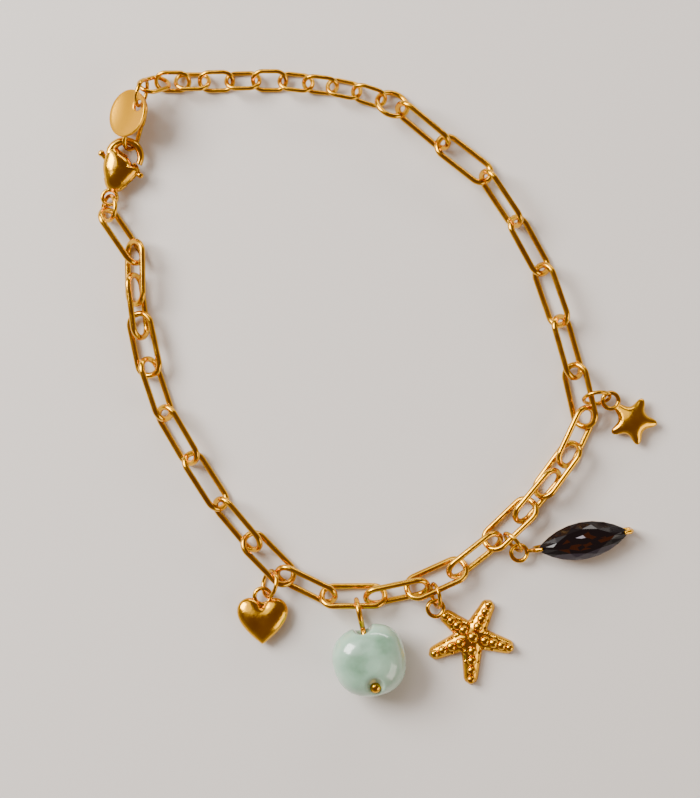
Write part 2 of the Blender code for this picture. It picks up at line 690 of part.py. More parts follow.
def starfish_mesh(centre_x):
    bm = bmesh.new()
    verts = [bm.verts.new((centre_x + x, y, 0.0)) for x, y in starfish_outline()]
    base = bm.faces.new(verts)
    if base.normal.z > 0.0:
        base.normal_flip()
    raised = bmesh.ops.extrude_face_region(bm, geom=[base])["geom"]
    top_verts = [item for item in raised if isinstance(item, bmesh.types.BMVert)]
    bmesh.ops.translate(bm, verts=top_verts, vec=(0.0, 0.0, STARFISH_THICKNESS * 0.45))
    top = [item for item in raised if isinstance(item, bmesh.types.BMFace)]
    for width, rise in ((0.3, 0.3), (0.3, 0.25)):
        bmesh.ops.inset_region(bm, faces=top, thickness=STARFISH_TIP_HALF * width, depth=0.0)
        lifted = {vert for face in top for vert in face.verts}
        bmesh.ops.translate(bm, verts=list(lifted), vec=(0.0, 0.0, STARFISH_THICKNESS * rise))
    bmesh.ops.triangulate(bm, faces=[f for f in bm.faces if len(f.verts) > 4])
    return mesh_from(bm, "starfish_charm")


def knob_mesh(name, places):
    bm = bmesh.new()
    for place, radius in places:
        made = bmesh.ops.create_uvsphere(bm, u_segments=7, v_segments=5, radius=radius)
        bmesh.ops.translate(bm, verts=made["verts"], vec=place)
    return mesh_from(bm, name)


def make_starfish(order, gold, parent):
    loop_height = STARFISH_LOOP_HEIGHT
    middle = hang_ring("starfish_jump_ring", STARFISH_HANGING, order, STARFISH_RING_DIAMETER,
                       loop_height, gold, parent)
    centre_x = charm_start() + STARFISH_RADIUS * STARFISH_ARMS[0][1]
    matrix = charm_matrix(middle, STARFISH_HANGING.charm_heading, 0.0)
    body = add_object("starfish_charm", starfish_mesh(centre_x), gold, parent, matrix)
    top = STARFISH_THICKNESS * 0.98
    knobs = [(Vector((centre_x, 0.0, top)), STARFISH_KNOB * 1.2)]
    for turn, share in STARFISH_ARMS:
        angle = math.radians(180.0 + turn)
        for place, size in STARFISH_KNOBS:
            away = STARFISH_RADIUS * share * place
            spot = Vector((centre_x + away * math.cos(angle), away * math.sin(angle), top))
            knobs.append((spot, STARFISH_KNOB * size))
    combine(body, "knobs", knob_mesh("knobs", knobs), "UNION")
    solder_loop(body, loop_height, STARFISH_NECK)


def pebble_outline(centre_x):
    """An uneven rounded outline, a little squarer than an ellipse."""
    points = []
    for i in range(NUGGET_SIDES):
        angle = 2 * math.pi * i / NUGGET_SIDES
        swell = 1.0 + 0.035 * math.cos(4 * angle + 0.5) + 0.025 * math.cos(3 * angle - 0.8)
        x = centre_x + swell * NUGGET_LENGTH / 2 * math.cos(angle)
        points.append((x, swell * NUGGET_WIDTH / 2 * math.sin(angle)))
    return points


def make_stone(order, gold, stone_green, parent):
    """The stone on its headpin: the pin's eye goes round a chain link's outer wire."""
    link = order[STONE_HANGING.link]
    wire_place = link.outer_wire(STONE_HANGING.share)
    eye = Loop(HEADPIN_EYE_DIAMETER, HEADPIN_EYE_DIAMETER, HEADPIN_WIRE)
    eye_radius = (eye.width - eye.wire) / 2
    level = eye_radius - eye.wire / 2 - LINK_WIRE / 2 - REST_GAP
    middle = wire_place + heading(STONE_HANGING.ring_heading) * level
    middle.z = max(wire_place.z, eye.width / 2)
    matrix = frame_matrix(middle, heading(STONE_HANGING.charm_heading), STONE_HANGING.roll)
    pin = add_object("headpin", loop_mesh("headpin", eye), gold, parent, matrix)

    rise = math.radians(HEADPIN_STEM_RISE)
    along = Vector((math.cos(rise), math.sin(rise), 0.0))
    start = along * (eye_radius - eye.wire * 0.1)
    finish = along * (eye_radius + HEADPIN_STEM_LENGTH)
    combine(pin, "stem", rod_mesh("stem", start, finish, HEADPIN_WIRE / 2, 8), "UNION")
    bm = bmesh.new()
    bmesh.ops.create_uvsphere(bm, u_segments=12, v_segments=8, radius=HEADPIN_BALL_DIAMETER / 2)
    bmesh.ops.translate(bm, verts=bm.verts[:], vec=finish)
    combine(pin, "ball", mesh_from(bm, "ball"), "UNION")

    near = eye_radius - eye.wire * 0.5
    centre_x = near + NUGGET_LENGTH / 2
    stone_height = NUGGET_HEIGHT / 2
    stone_matrix = charm_matrix(middle, STONE_HANGING.charm_heading, stone_height)
    mesh = pillow_mesh("stone_nugget", pebble_outline(centre_x), (centre_x, 0.0), stone_height,
                       PUFFED)
    stone = add_object("stone_nugget", mesh, stone_green, parent, stone_matrix)
    lower = Vector((0.0, 0.0, middle.z - stone_height))
    slope = Vector((math.cos(rise), 0.0, math.sin(rise)))
    bore_start = lower + slope * (eye_radius * 0.5)
    bore_end = lower + slope * (eye_radius + HEADPIN_STEM_LENGTH)
    bore = rod_mesh("bore", bore_start, bore_end, HEADPIN_WIRE / 2 + NUGGET_BORE_CLEARANCE, 10)
    combine(stone, "bore", bore, "DIFFERENCE")
    seat_radius = HEADPIN_BALL_DIAMETER / 2 + NUGGET_BORE_CLEARANCE
    opening = (slope + UP).normalized()
    seat = rod_mesh("seat", bore_end - opening * seat_radius, bore_end + opening * NUGGET_LENGTH,
                    seat_radius * 1.05, 12)
    combine(stone, "seat", seat, "DIFFERENCE")
    dent = knob_mesh("dent", [(lower + Vector((eye_radius, 0.0, 0.0)), eye.wire * 2.5)])
    combine(stone, "dent", dent, "DIFFERENCE")


def rod_mesh(name, start, finish, radius, sides):
    bm = bmesh.new()
    axis = finish - start
    made = bmesh.ops.create_cone(bm, cap_ends=True, segments=sides, radius1=radius,
                                 radius2=radius, depth=axis.length)
    turn = UP.rotation_difference(axis.normalized()).to_matrix()
    bmesh.ops.transform(bm, matrix=turn.to_4x4(), verts=made["verts"])
    bmesh.ops.translate(bm, verts=made["verts"], vec=(start + finish) / 2)
    return mesh_from(bm, name)


def marquise_outline(scale, count, centre_x):
    """Two equal arcs that meet in points, walked round by an even parameter."""
    half_length = MARQUISE_LENGTH / 2 * scale
    half_width = MARQUISE_WIDTH / 2 * scale
    radius = (half_length ** 2 + half_width ** 2) / (2 * half_width)
    points = []
    for i in range(count):
        angle = 2 * math.pi * i / count
        x = half_length * math.cos(angle)
        y = math.sqrt(radius ** 2 - x ** 2) - (radius - half_width)
        points.append((centre_x + x, math.copysign(max(y, 0.0), math.sin(angle))))
    points[0] = (centre_x + half_length, 0.0)
    points[count // 2] = (centre_x - half_length, 0.0)
    return points


def cut_stone_mesh(name, centre_x, girdle_height):
    """A table, a kite and a star facet for each side, a thin girdle, and the same below."""
    bm = bmesh.new()
    rim = marquise_outline(1.0, 2 * MARQUISE_FACETS, centre_x)
    table = marquise_outline(MARQUISE_TABLE_SHARE, MARQUISE_FACETS, centre_x)
    keel = marquise_outline(MARQUISE_TABLE_SHARE * 0.6, MARQUISE_FACETS, centre_x)
    half = MARQUISE_GIRDLE / 2
    for sign, flat, depth in ((1, table, MARQUISE_CROWN), (-1, keel, MARQUISE_PAVILION)):
        edge = [bm.verts.new((x, y, girdle_height + sign * half)) for x, y in rim]
        face = [bm.verts.new((x, y, girdle_height + sign * (half + depth))) for x, y in flat]
        bm.faces.new(face)
        for i in range(MARQUISE_FACETS):
            j = (i + 1) % MARQUISE_FACETS
            before, here, after = edge[2 * i - 1], edge[2 * i], edge[2 * i + 1]
            bm.faces.new((face[i], before, here))
            bm.faces.new((face[i], here, after))
            bm.faces.new((face[i], after, face[j]))
        if sign == 1:
            upper = edge
    for i in range(len(rim)):
        j = (i + 1) % len(rim)
        bm.faces.new((upper[i], upper[j], edge[j], edge[i]))
    mesh = mesh_from(bm, name)
    mesh.shade_flat()
    return mesh


def claw_mesh(name, tip_x, side, girdle_top):
    """A hooked claw at one point of the stone: up outside the tip and in over it."""
    outer = tip_x + side * (SETTING_SEAT_GAP + CLAW_THICKNESS)
    inner = tip_x + side * SETTING_SEAT_GAP
    reach_in = tip_x - side * CLAW_OVERLAP
    lip = girdle_top + SETTING_SEAT_GAP
    rise = MARQUISE_CROWN * CLAW_OVERLAP / (MARQUISE_LENGTH / 2 * (1 - MARQUISE_TABLE_SHARE))
    foot = tip_x - side * MARQUISE_LENGTH * 0.12
    profile = [
        (outer, 0.0), (outer, lip + CLAW_COVER * 0.4), (reach_in, lip + rise + CLAW_COVER),
        (reach_in, lip + rise), (inner, lip), (inner, SETTING_PLATE_THICKNESS),
        (foot, SETTING_PLATE_THICKNESS), (foot, 0.0),
    ]
    bm = bmesh.new()
    near = [bm.verts.new((x, -CLAW_WIDTH / 2, z)) for x, z in profile]
    base = bm.faces.new(near)
    raised = bmesh.ops.extrude_face_region(bm, geom=[base])["geom"]
    far = [item for item in raised if isinstance(item, bmesh.types.BMVert)]
    bmesh.ops.translate(bm, verts=far, vec=(0.0, CLAW_WIDTH, 0.0))
    bmesh.ops.triangulate(bm, faces=[f for f in bm.faces if len(f.verts) > 4])
    return mesh_from(bm, name)


def make_marquise(order, gold, stone_dark, parent):
    loop_height = SETTING_LOOP_HEIGHT
    middle = hang_ring("marquise_jump_ring", MARQUISE_HANGING, order, MARQUISE_RING_DIAMETER,
                       loop_height, gold, parent)
    girdle = SETTING_PLATE_THICKNESS + SETTING_SEAT_GAP + MARQUISE_PAVILION + MARQUISE_GIRDLE / 2
    start = charm_start() + SETTING_NECK + SETTING_SEAT_GAP + CLAW_THICKNESS
    centre_x = start + MARQUISE_LENGTH / 2
    matrix = charm_matrix(middle, MARQUISE_HANGING.charm_heading, 0.0)
    plate = marquise_outline(SETTING_PLATE_SHARE, 2 * MARQUISE_FACETS, centre_x)
    plate_mesh = prism_mesh("marquise_setting", plate, 0.0, SETTING_PLATE_THICKNESS)
    setting = add_object("marquise_setting", plate_mesh, gold, parent, matrix)
    girdle_top = girdle + MARQUISE_GIRDLE / 2
    for name, side in (("near_claw", -1), ("far_claw", 1)):
        tip = centre_x + side * MARQUISE_LENGTH / 2
        combine(setting, name, claw_mesh(name, tip, side, girdle_top), "UNION")
    solder_loop(setting, loop_height, SETTING_NECK)
    stone = cut_stone_mesh("marquise_stone", centre_x, girdle)
    add_object("marquise_stone", stone, stone_dark, parent, matrix)


def centre_on_origin(parent):
    """The origin is the middle of the bracelet's footprint, on the surface."""
    bpy.context.view_layer.update()
    graph = bpy.context.evaluated_depsgraph_get()
    corners = []
    for body in bpy.data.objects:
        if body.type == "MESH" and not body.hide_render:
            ready = body.evaluated_get(graph)
            corners += [ready.matrix_world @ vert.co for vert in ready.data.vertices]
    for axis in (0, 1):
        values = [corner[axis] for corner in corners]
        parent.location[axis] = -(min(values) + max(values)) / 2
    bpy.context.view_layer.update()


def main():
    clear_scene()
    gold = make_material("polished_gold", (0.83, 0.55, 0.16), 0.12, 1.0)
    satin = make_material("satin_gold", (0.90, 0.62, 0.24), 0.30, 1.0)
    stone_green = make_material("green_stone", (0.48, 0.66, 0.56), 0.12, 0.0)
    stone_dark = make_material("dark_stone", (0.03, 0.02, 0.02), 0.05, 0.0)
    bracelet = bpy.data.objects.new("bracelet_frame", None)
    bpy.context.collection.objects.link(bracelet)

    order = chain_order()
    lay_chain(order)
    make_chain(order, gold, bracelet)
    make_clasp(clasp_matrix(order[0], order[-1]), gold, bracelet)
    tag_ring = next(piece for piece in order if piece.name == "tag_ring")
    make_tag(tag_ring, satin, bracelet)
    make_heart(order, gold, bracelet)
    make_stone(order, gold, stone_green, bracelet)
    make_starfish(order, gold, bracelet)
    make_marquise(order, gold, stone_dark, bracelet)
    make_star(order, gold, bracelet)
    centre_on_origin(bracelet)


main()
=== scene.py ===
"""Charm bracelet: gold paperclip chain, clasp, disc tag, two stones and three cast charms."""

import math
import random

import bmesh
import bpy
import numpy as np
from mathutils import Matrix, Vector

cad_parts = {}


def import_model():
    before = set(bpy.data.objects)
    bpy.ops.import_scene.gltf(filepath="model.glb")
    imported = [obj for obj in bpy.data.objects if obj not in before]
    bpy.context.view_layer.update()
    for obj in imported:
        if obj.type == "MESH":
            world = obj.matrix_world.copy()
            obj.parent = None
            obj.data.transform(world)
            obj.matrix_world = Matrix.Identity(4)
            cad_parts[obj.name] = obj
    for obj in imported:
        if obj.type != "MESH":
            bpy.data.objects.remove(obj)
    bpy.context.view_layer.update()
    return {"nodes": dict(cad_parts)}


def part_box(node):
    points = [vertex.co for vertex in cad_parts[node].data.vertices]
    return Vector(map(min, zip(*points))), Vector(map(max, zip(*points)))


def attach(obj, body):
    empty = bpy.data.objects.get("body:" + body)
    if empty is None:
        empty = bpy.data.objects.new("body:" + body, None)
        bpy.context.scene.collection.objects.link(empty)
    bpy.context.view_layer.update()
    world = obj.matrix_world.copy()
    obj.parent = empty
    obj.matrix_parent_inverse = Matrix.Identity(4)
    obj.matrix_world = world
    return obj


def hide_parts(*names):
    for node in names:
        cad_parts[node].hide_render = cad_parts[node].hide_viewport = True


MM = 0.001
UP = Vector((0.0, 0.0, 1.0))
ASIDE = Vector((0.0, 1.0, 0.0))

# How finely a wire loop is drawn, how much of its ends is rounded, how much a cut takes out.
CORNER_STEPS = 12
WIRE_SIDES = 20
ROUNDED_SHARE = 0.985
RING_CUT = 0.012

# Links: how many, their length, width and wire as in the part's source, and their rounding.
LINKS = {
    "chain_link": (25, (8.5 * MM, 3.75 * MM, 0.75 * MM), 0.96),
    "extender_link": (12, (4.65 * MM, 3.1 * MM, 0.55 * MM), ROUNDED_SHARE),
}

# Rings with a cut: width and wire in millimetres.
CUT_RINGS = {
    "extender_ring": (4.5, 0.66),
    "clasp_ring": (3.6, 0.55),
    "tag_ring": (3.7, 0.5),
    "heart_jump_ring": (3.7, 0.5),
    "star_jump_ring": (3.7, 0.5),
    "starfish_jump_ring": (3.4, 0.5),
    "marquise_jump_ring": (3.3, 0.5),
}
CHARM_LOOP = (2.5 * MM, 2.5 * MM, 0.54 * MM)

# Places of the cast pieces: x, y and height in millimetres, and turn in radians.
CLASP_PLACE = (-31.831, 26.151, 1.4, -0.3608)
PIVOT_PLACE = (-31.633, 25.542, 1.4, -0.3608)
HEART_PLACE = (-14.213, -26.374, 1.1, -1.5708)
STAR_PLACE = (28.803, -2.197, 0.95, -0.733)
STARFISH_PLACE = (7.173, -27.898, 0.0, -0.6545)
NUGGET_PLACE = (-2.253, -28.334, 3.1, -1.3526)
MARQUISE_PLACE = (17.504, -21.022, 0.0, 0.1972)

# Castings are melted into one form: the grain of the melt and the rounds of polish.
HEART_CAST = (0.07 * MM, 14)
STAR_CAST = (0.06 * MM, 10)
STARFISH_CAST = (0.07 * MM, 4)
SETTING_CAST = (0.06 * MM, 3)
CLASP_CAST = (0.06 * MM, 4)
LEVER_CAST = (0.05 * MM, 2)

# A charm's loop lies at its origin; its body starts this far away, behind a short neck.
CHARM_START = 0.982 * MM
NECK = 0.5 * MM
NECK_OVERLAP = 0.1 * MM
NECK_WAIST = 0.24 * MM
NECK_FLARE = 0.38 * MM

# Puffed forms: how fine their skin is worked out, and in how many levels it is drawn.
SKIN_CELLS = 90
SKIN_ROUNDS = 5000
SKIN_LEVELS = 26

# Heart. The stretch and the spread make up for what the rounding takes off.
HEART_WIDTH = 6.3 * MM
HEART_LENGTH = 5.8 * MM
HEART_HALF_THICKNESS = 1.1 * MM
HEART_CROWN = 1.04
HEART_MIDDLE_SHARE = 0.36
HEART_POINTS = 20
HEART_ROUNDS = 4
HEART_STRETCH = 1.02
HEART_SPREAD = 1.03
HEART_LOBE_POWER = 3.0
HEART_TIP_POWER = 1.9
HEART_PLUMPNESS = 0.12
HEART_BELLY_START = 0.28
HEART_BELLY_SPAN = 0.70
HEART_BELLY_POWER = 1.5
HEART_NECK_INTO_BODY = 0.3 * MM

# Star.
STAR_MIDDLE = 3.737 * MM
STAR_TIP_RADIUS = 2.9 * MM
STAR_INNER_RADIUS = 1.55 * MM
STAR_TIP_BLUNT = 0.20
STAR_ROUNDS = 4
STAR_HALF_THICKNESS = 0.95 * MM
STAR_GROWTH = 1.05
STAR_LOOP_RISE = 0.2 * MM
STAR_NECK = 0.4 * MM

# Starfish: each arm's direction in degrees and its share of the full reach.
STARFISH_MIDDLE = Vector((5.782 * MM, 0.0, 0.0))
STARFISH_RADIUS = 6.0 * MM
STARFISH_HUB = (1.9 * MM, 1.9 * MM, 1.35 * MM)
STARFISH_LOOP_RISE = 1.1 * MM
STARFISH_NECK_RISE_SHARE = 0.75
STARFISH_NECK_INTO_BODY = 0.6 * MM
STARFISH_ARMS = [(0.0, 0.80), (61.5, 0.98), (125.5, 1.0), (201.0, 0.90), (280.3, 0.84)]
ARM_STEPS = 16
ARM_ROOT_HALF_WIDTH = 1.62
ARM_TAPER = 0.80
ARM_TAPER_POWER = 0.8
ARM_ROOT_HEIGHT = 1.30
ARM_DROP = 0.42
ARM_TIP_SPAN = 0.14

# Knobs down the middle of each arm and beads at its sides: how far out, and the radius in mm.
STARFISH_KNOBS = [(0.29, 0.64), (0.49, 0.62), (0.69, 0.58), (0.88, 0.53)]
STARFISH_SIDE_BEADS = [(0.32, 0.28), (0.52, 0.24)]
HUB_KNOB_HEIGHT = 1.42 * MM
HUB_KNOB_RADIUS = 0.72 * MM
KNOB_HEIGHT = 1.34
KNOB_DROP = 0.45
KNOB_HEIGHT_SHARE = 0.85
KNOB_STEPS = 18
BEAD_HEIGHT = 0.78
BEAD_DROP = 0.25
BEAD_ASIDE_SHARE = 0.72
BEAD_STEPS = 12

# What the floor takes off the starfish: a box below it.
UNDER_STARFISH = [(-5, -9), (15, -9), (15, 9), (-5, 9)]
UNDER_STARFISH_DEPTH = 5 * MM

# Nugget: an uneven ball, with a dent where the pin's eye is and a bowl round the pin's ball.
NUGGET_MIDDLE = 5.85 * MM
NUGGET_LENGTH = 9.0 * MM
NUGGET_WIDTH = 9.2 * MM
NUGGET_HALF_HEIGHT = 3.1 * MM
NUGGET_SWELL = 1.005
NUGGET_SQUARENESS = 0.028
NUGGET_LOPSIDEDNESS = 0.018
NUGGET_FULLNESS = 2.5
NUGGET_LUMP = 0.025
NUGGET_CLEFT_TOP = 1.1 * MM
DENT_REACH = 2.75
DENT_CURVE = 0.85
DENT_SOFTNESS = 0.20 * MM
BOWL_SHIFT = 0.30 * MM
BOWL_STRETCH = 0.85
BOWL_DEPTH = -0.12
BOWL_CURVE = 0.92
BOWL_SOFTNESS = 0.14 * MM

# Headpin: its eye as a wire loop, its stem and its ball.
PIN_EYE = (4.0 * MM, 4.0 * MM, 0.65 * MM)
PIN_STEM = 7.6 * MM
PIN_RISE = math.radians(12.0)
PIN_STEPS = 6
PIN_BALL_RADIUS = 0.75 * MM

# Marquise stone. A share is of the outline at the girdle.
MARQUISE_MIDDLE = 7.982 * MM
MARQUISE_LENGTH = 11.6 * MM
MARQUISE_WIDTH = 4.6 * MM
MARQUISE_GIRDLE_HEIGHT = 1.85 * MM
MARQUISE_GIRDLE = 0.3 * MM
MARQUISE_CROWN = 1.0 * MM
MARQUISE_PAVILION = 0.9 * MM
MARQUISE_TABLE_SHARE = 0.66
MARQUISE_KEEL_SHARE = 0.33
MARQUISE_FACETS = 12
KITE_HEIGHT_SHARE = 0.58
KITE_OUTSET = 0.01
TABLE_RING_SHARES = (0.74, 0.50, 0.27)
FLAT_ENOUGH = 0.999

# Tints of the marquise, and where they lie: near-black, red-brown on some table facets, a
# purple-grey painted reflection on the facets at one side, and a pale painted glint on the table.
NEAR_BLACK = (0.006, 0.004, 0.005)
RED_BROWN = (0.026, 0.007, 0.003)
# The purple-grey is a painted reflection on the facets off the table at one side of the stone.
PURPLE_GREY_PAINTED_REFLECTION = (0.030, 0.022, 0.034)
# The pale glint is a painted highlight: light reflected by the back facets, painted into the colour
# of some table facets.
PAINTED_GLINT_COLOUR = (0.30, 0.28, 0.33)
RED_BROWN_FROM = 0.66
PAINTED_REFLECTION_BAND_SHARE = 0.45
PAINTED_GLINT_PLACE = Vector((-0.2, 0.65, 2.95)) * MM
PAINTED_GLINT_RADIUS = 0.5 * MM
PAINTED_GLINT_FROM = 0.35
FACET_SEED = 7

# Marquise setting: a plate, and a claw at each point of the stone.
PLATE_POINTS = 64
PLATE_SHARE = 0.88
PLATE_BOTTOM = 0.05 * MM
PLATE_TOP = 0.6 * MM
SETTING_LOOP_RISE = 1.1 * MM
SETTING_NECK_INTO_BODY = 0.5 * MM
CLAW_HALF_THICKNESS = 0.24 * MM

# Each claw from the plate up and over the stone: how far outward, height and half width in mm.
CLAW_PROFILE = [(-1.4, 0.30, 0.45), (-0.3, 0.33, 0.45), (0.30, 0.45, 0.42), (0.36, 1.1, 0.34),
                (0.32, 1.9, 0.30), (0.08, 2.34, 0.30), (-0.35, 2.46, 0.27), (-0.70, 2.58, 0.20)]

# Disc tag: dished a little, with a rounded rim and hole.
TAG_RADIUS = 3.0 * MM
TAG_HALF_THICKNESS = 0.225 * MM
TAG_EDGE = 0.13 * MM
TAG_DOME = -0.26 * MM
TAG_HOLE_RADIUS = 0.675 * MM
TAG_HOLE = (1.41 * MM, 1.18 * MM)
TAG_MIDDLE = (-30.673 * MM, 33.047 * MM, 3.201 * MM)
TAG_TILT = -0.6981
TAG_TURN = -0.2618
TAG_FLAT_STEPS = 10
TAG_EDGE_STEPS = 6
TAG_SIDES = 96

# Clasp, in millimetres about its middle: its face, wide under the hook and narrow at the tail,
# the slot inside it for the lever, and the groove along its right edge.
CLASP_FACE = [(-0.75, -2.75), (0.75, -2.75), (1.75, -1.1), (2.2, -0.1), (2.42, 0.6),
              (2.2, 1.22), (1.3, 1.25), (0.6, 2.0), (-0.7, 2.35), (-1.5, 2.75), (-2.4, 2.4),
              (-2.45, 1.0), (-2.25, -0.3), (-1.65, -1.4)]
CLASP_SLOT = [(-3.45, 2.05), (-0.6, 1.9), (0.4, 2.0), (1.5, 1.75), (2.3, 1.2), (3.4, 0.4),
              (3.4, -0.6), (1.15, -1.55), (-0.5, -1.55), (-3.45, -1.4)]
CLASP_GROOVE = [(2.75, 0.95, 0.75), (2.15, 0.45, 0.85), (1.85, -0.35, 0.85), (1.40, -1.20, 0.80),
                (0.95, -2.00, 0.68), (0.75, -3.20, 0.50)]
CLASP_FACE_ROUNDS = 3
CLASP_MIDDLE = (-0.1 * MM, 0.2 * MM)
CLASP_HALF_THICKNESS = 1.4 * MM
CLASP_LEVELS = 14
CLASP_FULLNESS = 2.0
SLOT_HALF_HEIGHT = 0.55 * MM
GROOVE_SIZE = (0.14 * MM, 0.22 * MM)
GROOVE_SIDES = 12

# The clasp's hook gets thinner towards its tip; half widths and half heights are in mm.
HOOK_MIDDLE_Y = 1.9 * MM
HOOK_RADIUS = 1.93 * MM
HOOK_SWEEP = (190.0, -10.0)
HOOK_STEPS = 30
HOOK_HALF_WIDTH = 0.57
HOOK_THINNING = 0.15
HOOK_HALF_HEIGHT = 0.85
HOOK_LOWERING = 0.30

# The clasp's tail ring, and the small nub beside its mouth.
TAIL_Y = -3.5 * MM
TAIL_RADIUS = 0.9 * MM
TAIL_SWEEP = (0.0, 350.0)
TAIL_STEPS = 35
TAIL_SIZE = (0.24 * MM, 0.42 * MM)
NUB_PLACE = Vector((2.62, 0.35, 0.62)) * MM
NUB_RADII = (0.45 * MM, 0.36 * MM, 0.36 * MM)

# Lever, about its pivot: the gate that shuts the hook, its spoke, and the thumb piece.
LEVER_REACH = 2.3 * MM
LEVER_HALF_HEIGHT = 0.38 * MM
LEVER_HUB_RADIUS = 0.72 * MM
GATE_SHARE = 0.93
GATE_SWEEP = (26.0, 66.0)
GATE_STEPS = 12
GATE_HALF_WIDTH = 0.26 * MM
SPOKE_TURN = 0.75
SPOKE_SHARE = 0.9
SPOKE_HALF_WIDTH = 0.6 * MM
THUMB_REACH = 3.7 * MM
THUMB_ANGLE = math.radians(152.0)
THUMB_HALF_WIDTHS = (0.5 * MM, 0.34 * MM, 0.3 * MM)
THUMB_BALL = (0.43 * MM, 0.43 * MM, 0.40 * MM)

# Tints of the materials: where on the noise, and which colour.
GOLD_TINTS = [(0.35, (0.64, 0.31, 0.010)), (0.65, (0.79, 0.42, 0.024))]
SATIN_TINTS = [(0.2, (0.74, 0.35, 0.008)), (0.8, (0.86, 0.43, 0.014))]
STONE_TINTS = [(0.28, (0.14, 0.28, 0.18)), (0.42, (0.28, 0.47, 0.35)),
               (0.55, (0.36, 0.56, 0.43)), (0.72, (0.50, 0.68, 0.56))]
NOISE_LOW = 0.3
NOISE_HIGH = 0.7

# Area lights: name, place, size, power and colour.
LIGHTS = [
    ("window", (-0.34, 0.19, 0.30), (0.28, 0.24), 4.6, (1.0, 0.97, 0.93)),
    ("fill", (0.34, -0.20, 0.20), (0.30, 0.20), 0.7, (1.0, 0.90, 0.80)),
    ("back_strip", (0.12, 0.42, 0.14), (0.40, 0.06), 0.7, (1.0, 0.95, 0.90)),
]
SKYLIGHT_STRENGTH = 1.1
SKYLIGHT_ANGLE = math.radians(50.0)
SKYLIGHT_TURN = (math.radians(-30.0), math.radians(-30.0), 0.0)

# The room's colours from the horizon up to overhead.
ROOM_SHADES = [(0.0, (0.62, 0.58, 0.54)), (0.22, (0.46, 0.38, 0.30)), (0.55, (0.20, 0.12, 0.06)),
               (1.0, (0.21, 0.12, 0.06))]
ROOM_STRENGTH = 0.9

# Camera straight above: what it looks at, how much it sees from top to bottom, and its lens.
FRAME_CENTRE = (-3.4 * MM, -2.0 * MM)
FRAME_TALL = 98.3 * MM
FOCUS_HEIGHT = 2.0 * MM
LENS = 100.0
SENSOR = 36.0
FLOOR_HALF_SIZE = 3.0


def as_mesh(bm, name):
    """The mesh of a bmesh, which is freed."""
    mesh = bpy.data.meshes.new(name)
    bm.to_mesh(mesh)
    bm.free()
    return mesh


def joined(name, meshes):
    """One mesh out of several, each with its faces kept as they are."""
    bm = bmesh.new()
    for mesh in meshes:
        bm.from_mesh(mesh)
    return as_mesh(bm, name)


def in_mm(corners):
    """Corners given in millimetres, as vectors."""
    return [Vector(corner) * MM for corner in corners]


def place_matrix(place):
    """Where a piece goes: a place is x, y and height in millimetres, and a turn."""
    x, y, z, turn = place
    return Matrix.Translation(Vector((x, y, z)) * MM) @ Matrix.Rotation(turn, 4, "Z")


def piece(name, mesh, material, nodes, place=None, body="bracelet", smooth=True):
    """A finished piece of the bracelet, in its place and instead of its CAD nodes."""
    if place:
        mesh.transform(place_matrix(place))
    obj = scene_object(name, mesh)
    mesh.materials.clear()
    mesh.materials.append(material)
    if smooth:
        mesh.shade_smooth()
    else:
        mesh.shade_flat()
    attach(obj, body)
    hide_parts(*nodes)


def baked(obj):
    """The object's shape with its modifiers, as a plain mesh; the object itself goes."""
    bpy.context.view_layer.update()
    graph = bpy.context.evaluated_depsgraph_get()
    mesh = bpy.data.meshes.new_from_object(obj.evaluated_get(graph), depsgraph=graph)
    source = obj.data
    obj.modifiers.clear()
    bpy.data.objects.remove(obj)
    bpy.data.meshes.remove(source)
    return mesh


def scene_object(name, data):
    obj = bpy.data.objects.new(name, data)
    bpy.context.scene.collection.objects.link(obj)
    return obj


def cast(name, meshes, grain, rounds):
    """Melts closed shapes into one smooth casting."""
    obj = scene_object(name, joined(name, meshes))
    melt = obj.modifiers.new("Melt", "REMESH")
    melt.mode = "VOXEL"
    melt.voxel_size = grain
    polish = obj.modifiers.new("Polish", "SMOOTH")
    polish.factor = 0.5
    polish.iterations = rounds
    return baked(obj)


def carved(mesh, cutter):
    """The mesh with the cutter's space taken out."""
    obj = scene_object("carved", mesh)
    tool = scene_object("cutter", cutter)
    cut = obj.modifiers.new("Cut", "BOOLEAN")
    cut.operation = "DIFFERENCE"
    cut.solver = "EXACT"
    cut.object = tool
    result = baked(obj)
    bpy.data.objects.remove(tool)
    return result


def ball(middle, radii, steps=24):
    """A ball or an egg with a radius for each axis."""
    bm = bmesh.new()
    made = bmesh.ops.create_uvsphere(bm, u_segments=steps, v_segments=steps // 2, radius=1.0)
    scale = Matrix.Diagonal((*radii, 1.0))
    bmesh.ops.transform(bm, matrix=Matrix.Translation(middle) @ scale, verts=made["verts"])
    return as_mesh(bm, "ball")


def swept(path, sizes, upright, closed=False, sides=20):
    """A tube of changing size along a flat path; a size is half a width and half a height."""
    bm = bmesh.new()
    rings = []
    count = len(path)
    for i, middle in enumerate(path):
        if closed:
            toward = path[(i + 1) % count] - path[i - 1]
        else:
            toward = path[min(i + 1, count - 1)] - path[max(i - 1, 0)]
        across = toward.normalized().cross(upright)
        half_width, half_height = sizes[i]
        ring = []
        for k in range(sides):
            turn = 2 * math.pi * k / sides
            offset = across * math.cos(turn) * half_width + upright * math.sin(turn) * half_height
            ring.append(bm.verts.new(middle + offset))
        rings.append(ring)
    pairs = list(zip(rings, rings[1:]))
    if closed:
        pairs.append((rings[-1], rings[0]))
    else:
        bm.faces.new(rings[0])
        bm.faces.new(rings[-1][::-1])
    for first, second in pairs:
        for k in range(sides):
            m = (k + 1) % sides
            bm.faces.new((first[k], second[k], second[m], first[m]))
    bmesh.ops.recalc_face_normals(bm, faces=bm.faces)
    return as_mesh(bm, "swept")


def arc_path(middle, radius, start, end, steps):
    """Points along a flat arc between two angles in degrees."""
    path = []
    for i in range(steps + 1):
        turn = math.radians(start + (end - start) * i / steps)
        path.append(middle + Vector((math.cos(turn), math.sin(turn), 0.0)) * radius)
    return path


